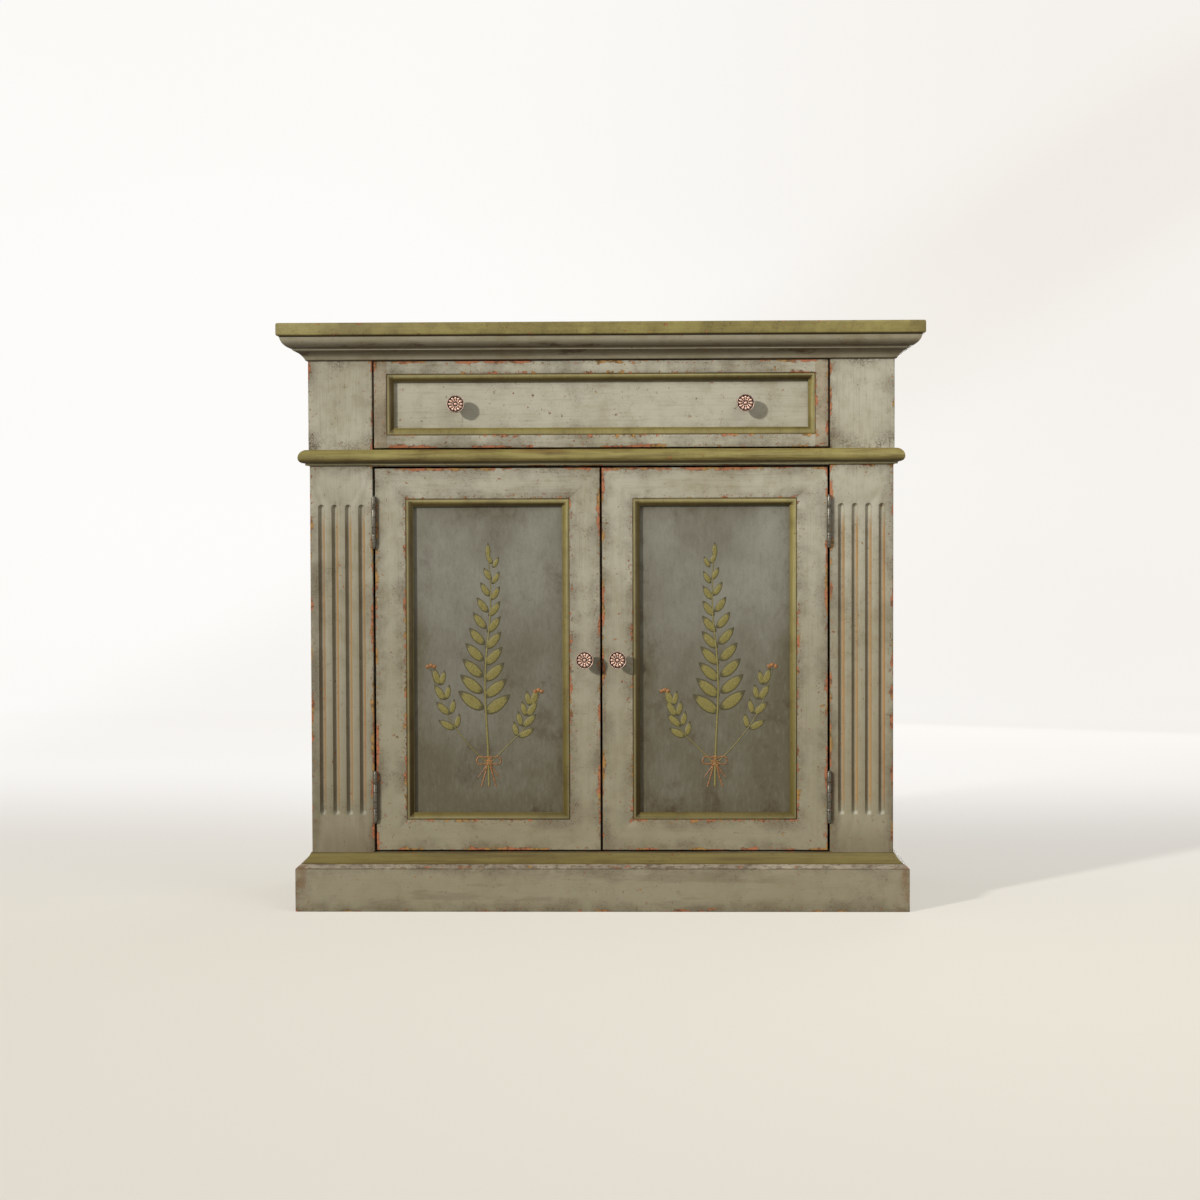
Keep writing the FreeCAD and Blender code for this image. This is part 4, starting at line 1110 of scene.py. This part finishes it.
def knob_mesh(radius, tall):
    """A rosette knob standing on the XY plane: waisted stem, rim, dish, petals and bead."""
    dish = tall * KNOB_DISH
    mesh = turned([(out * radius, up * tall) for out, up in KNOB_OUTLINE], KNOB_STEPS)
    for face in mesh.faces:
        middle = face.calc_center_median()
        across = math.hypot(middle.x, middle.y)
        on_rim = across > radius * 0.93 and middle.z > tall * (KNOB_FACE - 0.02)
        face.material_index = 0 if on_rim else 1
    for index in range(PETALS):
        turn = Matrix.Rotation(math.tau * index / PETALS, 3, "Z")
        inner = turn @ Vector((radius * 0.42, 0, dish - tall * 0.005))
        outer = turn @ Vector((radius * 0.65, 0, dish + tall * 0.002))
        add_ball(mesh, (radius * 0.17, radius * 0.075, tall * 0.035), inner, 0, 10, 6, turn)
        add_ball(mesh, (radius * 0.19, radius * 0.145, tall * 0.055), outer, 0, 12, 8, turn)
    add_ball(mesh, (radius * 0.2, radius * 0.2, tall * 0.11), (0, 0, dish - tall * 0.02), 0)
    return mesh


class SIDEBOARD_OT_knobs(bpy.types.Operator):
    """Four rosette knobs in rubbed copper"""

    bl_idname = "sideboard.knobs"
    bl_label = "Knobs"

    def execute(self, context):
        finishes = [rubbed_metal("knob_copper", "copper", 500), dark_metal("knob_patina")]
        for node in KNOB_BOARDS:
            low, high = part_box(node)
            mesh = knob_mesh((high.x - low.x) / 2, high.y - low.y)
            seat = Matrix.Translation(((low.x + high.x) / 2, high.y, (low.z + high.z) / 2))
            upright = seat @ Matrix.Rotation(math.radians(90), 4, "X")
            bmesh.ops.transform(mesh, matrix=upright, verts=mesh.verts)
            add_piece(mesh, f"{node}_rosette", [node], finishes)
        return {"FINISHED"}


def add_screw(mesh, place, facing, radius, proud):
    """A slotted screw head, its rim at a place and its face towards a direction."""
    turn = Vector(facing).to_track_quat("Z", "Y").to_matrix()
    made = bmesh.ops.create_uvsphere(mesh, u_segments=20, v_segments=10, radius=1.0)
    for vert in made["verts"]:
        slot = 0.6 if abs(vert.co.y) < 0.2 else 1.0
        up = vert.co.z * (proud * slot if vert.co.z > 0 else radius * 0.2)
        spot = Vector((vert.co.x * radius, vert.co.y * radius, up))
        vert.co = turn @ spot + Vector(place)


KNUCKLES = 5
PIN_BALL = 0.0027
SCREW_LEVELS = (0.16, 0.5, 0.84)
SCREW_SUNK = 0.0002
SCREW_SETBACK = 0.009


def hinge_metal():
    """Dull pewter with dark lines where one knuckle meets the next."""
    finish = Finish("hinge_pewter")
    worn = finish.noise(420, 3, 0.6)
    low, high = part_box("door_left_hinge_leaves")
    heights = hinge_middles()
    pitch = (high.z - low.z - (heights[1] - heights[0])) / KNUCKLES
    steps = [(index - KNUCKLES / 2) * pitch for index in range(1, KNUCKLES)]
    gaps = [abs(finish.axes[2] - (middle + step)) for middle in heights for step in steps]
    joints = reduce(Field.most, [gap.fall(0.0002, 0.0008) for gap in gaps])
    shade = worn.rise(0.44, 0.68) * 0.6 + joints * 0.85
    finish.start("pewter", "tarnish", shade.least(0.95))
    return finish.surface(worn * 0.3 + 0.25, worn, 0.0001, Metallic=0.75)


class SIDEBOARD_OT_hinges(bpy.types.Operator):
    """The butt hinges in rubbed pewter, with ball-tipped pins and countersunk screws"""

    bl_idname = "sideboard.hinges"
    bl_label = "Hinges"

    def execute(self, context):
        radius = context.scene.sideboard_sizes.screw_radius
        metal = hinge_metal()
        for node in ("hinge_case_leaves", "door_left_hinge_leaves", "door_right_hinge_leaves"):
            mesh = mesh_of(node)
            ease(mesh, FINE_RUB)
            add_piece(mesh, f"{node}_rubbed", [node], [metal])
        mesh = mesh_of("hinge_pins")
        for low, high in solid_boxes("hinge_pins"):
            middle = (low + high) / 2
            for end in (low.z + PIN_BALL, high.z - PIN_BALL):
                add_ball(mesh, (PIN_BALL, PIN_BALL, PIN_BALL), (middle.x, middle.y, end), 0)
        bmesh.ops.recalc_face_normals(mesh, faces=mesh.faces)
        add_piece(mesh, "hinge_pins_tipped", ["hinge_pins"], [metal])
        for where, side in SIDES.items():
            mesh = bmesh.new()
            for low, high in solid_boxes(f"door_{where}_hinge_leaves"):
                face = high.x if side > 0 else low.x
                for level in SCREW_LEVELS:
                    up = low.z + (high.z - low.z) * level
                    spot = (face - side * SCREW_SUNK, high.y - SCREW_SETBACK, up)
                    add_screw(mesh, spot, (side, 0, 0), radius, SCREW_SUNK * 2)
            name = f"door_{where}_hinge_screws"
            add_piece(mesh, name, [], [metal], f"door_{where}")
        return {"FINISHED"}


# Radius and height of the heads of the screws behind the knobs.
KNOB_SCREW = (0.0045, 0.0022)
NAIL_PROUD = 0.0006
NAIL_INSET = 0.009
NAIL_COLUMNS = 6
NAIL_ROWS = 5


class SIDEBOARD_OT_fasteners(bpy.types.Operator):
    """The screws behind the knobs, and the nails in the back"""

    bl_idname = "sideboard.fasteners"
    bl_label = "Screws and nails"

    def execute(self, context):
        radius = context.scene.sideboard_sizes.nail_radius
        steel = rubbed_metal("screw_steel", "pewter", 600)
        for knob, board in sorted(KNOB_BOARDS.items()):
            low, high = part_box(knob)
            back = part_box(board)[1].y
            mesh = bmesh.new()
            spot = ((low.x + high.x) / 2, back, (low.z + high.z) / 2)
            add_screw(mesh, spot, (0, 1, 0), *KNOB_SCREW)
            body = NODES[knob]["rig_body"]
            add_piece(mesh, f"{knob}_screw", [], [steel], body)
        low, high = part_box("back_panel")
        wide = high.x - low.x - NAIL_INSET * 2
        tall = high.z - low.z - NAIL_INSET * 2
        mesh = bmesh.new()
        for row in range(NAIL_ROWS + 1):
            for column in range(NAIL_COLUMNS + 1):
                if row in (0, NAIL_ROWS) or column in (0, NAIL_COLUMNS):
                    x = low.x + NAIL_INSET + wide * column / NAIL_COLUMNS
                    z = low.z + NAIL_INSET + tall * row / NAIL_ROWS
                    add_ball(mesh, (radius, NAIL_PROUD, radius), (x, high.y, z), 0, 12, 6)
        body = NODES["back_panel"]["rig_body"]
        add_piece(mesh, "back_nails", [], [steel], body)
        return {"FINISHED"}


class SIDEBOARD_OT_catches(bpy.types.Operator):
    """The magnetic catches and their strikes"""

    bl_idname = "sideboard.catches"
    bl_label = "Catches"

    def execute(self, context):
        finish = Finish("catch_moulding")
        grain = finish.noise(900, 2, 0.5)
        finish.start("twig", "tarnish", grain * 0.3 + 0.45)
        plastic = finish.surface(0.45, grain, 0.0001)
        eased_board("door_catches", plastic, BOX_RUB)
        steel = rubbed_metal("strike_steel", "pewter", 300)
        for where in SIDES:
            eased_board(f"door_{where}_strike", steel, FINE_RUB)
        return {"FINISHED"}


STUDIO_HALF = 16.0
STUDIO_FRONT = -9.0
STUDIO_BEND = 4.3
STUDIO_TOP = 9.0
COVE_RADIUS = 1.0
COVE_STEPS = 16
SKY_SEEN = 0.95
SKY_COLOUR = (1.0, 0.985, 0.96, 1.0)
KEY_COLOUR = (1.0, 0.97, 0.92)
# Where the key and the fills hang and what they are aimed at; a fill's size comes first.
KEY_LINE = ((-4.0, -4.2, 2.9), (0, 0, 0.9))
FILLS = {
    "top_fill": (0.9, (0.8, -1.15, 1.75), (0.1, -0.16, 0.85)),
    "side_fill": (1.4, (3.6, -0.4, 0.8), (0.4, 0, 0.5)),
    "back_fill": (1.6, (1.2, 3.0, 0.9), (0, 0.2, 0.5)),
}
# The camera stands 3.5 m off the front, a little to the right, and is nearly level.
CAMERA_PLACE = (0.0771, -3.6592, 0.5914)
CAMERA_TURNS = ((1.291, "Z"), (-1.737, "X"), (0.177, "Y"), (90, "X"))
SENSOR_WIDTH = 36


def place_lamp(lamp, place, target):
    """Hangs a lamp at a place, aimed at a target."""
    holder = new_object(lamp.name, lamp)
    aim = (Vector(target) - Vector(place)).to_track_quat("-Z", "Y")
    holder.matrix_world = Matrix.Translation(place) @ aim.to_matrix().to_4x4()
    holder.visible_camera = False


class SIDEBOARD_OT_studio(bpy.types.Operator):
    """The floor, the backdrop, the lamps and the camera"""

    bl_idname = "sideboard.studio"
    bl_label = "Studio"

    def execute(self, context):
        studio = context.scene.sideboard_studio
        self.add_floor()
        self.add_lamps(studio)
        self.add_sky(studio)
        self.add_camera(studio)
        context.scene.view_settings.view_transform = "Standard"
        return {"FINISHED"}

    def add_floor(self):
        """One sheet: the floor, a wide cove and the wall behind."""
        line = [(STUDIO_FRONT, 0.0)]
        for step in range(COVE_STEPS + 1):
            turn = math.radians(90) * step / COVE_STEPS
            out, up = math.sin(turn), 1 - math.cos(turn)
            line.append((STUDIO_BEND + COVE_RADIUS * out, COVE_RADIUS * up))
        line.append((STUDIO_BEND + COVE_RADIUS, STUDIO_TOP))
        mesh = bmesh.new()
        verts = [mesh.verts.new((-STUDIO_HALF, y, z)) for y, z in line]
        edges = [mesh.edges.new(pair) for pair in zip(verts, verts[1:])]
        made = bmesh.ops.extrude_edge_only(mesh, edges=edges)
        moved = [item for item in made["geom"] if isinstance(item, bmesh.types.BMVert)]
        bmesh.ops.translate(mesh, verts=moved, vec=(STUDIO_HALF * 2, 0, 0))
        bmesh.ops.recalc_face_normals(mesh, faces=mesh.faces)

        finish = Finish("studio_sweep")
        axes = finish.axes
        far = axes[1].rise(-0.6, 1.6)
        back = axes[1].rise(0.5, 2.0)
        right = axes[0].rise(-1.0, 2.0)
        slope = axes[2] * 0.8 - axes[0] * 0.5
        bands = finish.noise(0.55, 2, 0.4, (0.35, 1, 1)).rise(0.4, 0.6)
        shade_band = slope.rise(0.1, 0.5) * slope.fall(0.7, 1.1)
        finish.start("floor", "wall", far)
        # Painted soft shade on the backdrop: a diagonal band, more of it towards the right, and
        # faint bands.
        dimmed = (shade_band * 0.3 + right * 0.45 + bands * 0.1) * far
        finish.coat("dusk", dimmed.least(1.0))
        seen = finish.seen()
        cover = finish.blend("shade", finish.colour, seen)
        matt = finish.node("ShaderNodeBsdfDiffuse", None, {"Color": cover}).outputs[0]
        glow = finish.node("ShaderNodeEmission", None, {"Color": finish.colour}).outputs[0]
        ends = {0: seen * (back * 0.53 + 0.42), 1: matt, 2: glow}
        mixed = finish.node("ShaderNodeMixShader", None, ends)
        finish.node("ShaderNodeOutputMaterial", None, {"Surface": mixed.outputs[0]})
        smooth_object(mesh, "studio_floor", [finish.material])

    def add_lamps(self, studio):
        """A low key from the left, and weak fills over the front, on the right and behind."""
        key = bpy.data.lights.new("key", "SUN")
        key.energy = studio.key
        key.angle = studio.key_angle
        key.color = KEY_COLOUR
        place_lamp(key, *KEY_LINE)
        for name, (size, place, target) in FILLS.items():
            fill = bpy.data.lights.new(name, "AREA")
            fill.energy = getattr(studio, name)
            fill.size = size
            place_lamp(fill, place, target)

    def add_sky(self, studio):
        """Even light from all round, nearly white where the camera sees it."""
        world = bpy.data.worlds.new("sky")
        sky = Finish("sky", world)
        strength = sky.seen() * (SKY_SEEN - studio.sky) + studio.sky
        light = {"Color": SKY_COLOUR, "Strength": strength}
        backing = sky.node("ShaderNodeBackground", None, light)
        sky.node("ShaderNodeOutputWorld", None, {"Surface": backing.outputs[0]})
        bpy.context.scene.world = world

    def add_camera(self, studio):
        """The camera where the photograph was taken from."""
        lens = bpy.data.cameras.new("camera")
        lens.lens = studio.lens
        lens.sensor_width = SENSOR_WIDTH
        camera = new_object("camera", lens)
        pose = Matrix.Translation(CAMERA_PLACE)
        for degrees, axis in CAMERA_TURNS:
            pose = pose @ Matrix.Rotation(math.radians(degrees), 4, axis)
        camera.matrix_world = pose
        bpy.context.scene.camera = camera


OPERATORS = (
    SIDEBOARD_OT_top,
    SIDEBOARD_OT_cornice,
    SIDEBOARD_OT_carcass,
    SIDEBOARD_OT_pilasters,
    SIDEBOARD_OT_belt_and_base,
    SIDEBOARD_OT_inside,
    SIDEBOARD_OT_drawer,
    SIDEBOARD_OT_doors,
    SIDEBOARD_OT_sprigs,
    SIDEBOARD_OT_knobs,
    SIDEBOARD_OT_hinges,
    SIDEBOARD_OT_catches,
    SIDEBOARD_OT_fasteners,
    SIDEBOARD_OT_studio,
)


class SIDEBOARD_PT_panel(bpy.types.Panel):
    """Every piece of the sideboard's dressing"""

    bl_idname = "SIDEBOARD_PT_panel"
    bl_label = "Sideboard"
    bl_space_type = "VIEW_3D"
    bl_region_type = "UI"
    bl_category = "Sideboard"

    def draw(self, context):
        for operator in OPERATORS:
            self.layout.operator(operator.bl_idname)
        for group in ("sideboard_colours", "sideboard_sizes", "sideboard_studio"):
            box = self.layout.box()
            settings = getattr(context.scene, group)
            for name in settings.__annotations__:
                box.prop(settings, name)


GROUPS = {
    "sideboard_colours": SideboardColours,
    "sideboard_sizes": SideboardSizes,
    "sideboard_studio": SideboardStudio,
}


def register():
    for name, group in GROUPS.items():
        bpy.utils.register_class(group)
        setattr(bpy.types.Scene, name, bpy.props.PointerProperty(type=group))
    for operator in OPERATORS:
        bpy.utils.register_class(operator)
    bpy.utils.register_class(SIDEBOARD_PT_panel)


def unregister():
    bpy.utils.unregister_class(SIDEBOARD_PT_panel)
    for operator in reversed(OPERATORS):
        bpy.utils.unregister_class(operator)
    for name, group in GROUPS.items():
        delattr(bpy.types.Scene, name)
        bpy.utils.unregister_class(group)


def main():
    register()
    for operator in OPERATORS:
        family, name = operator.bl_idname.split(".")
        getattr(getattr(bpy.ops, family), name)()


if __name__ == "__main__":
    main()
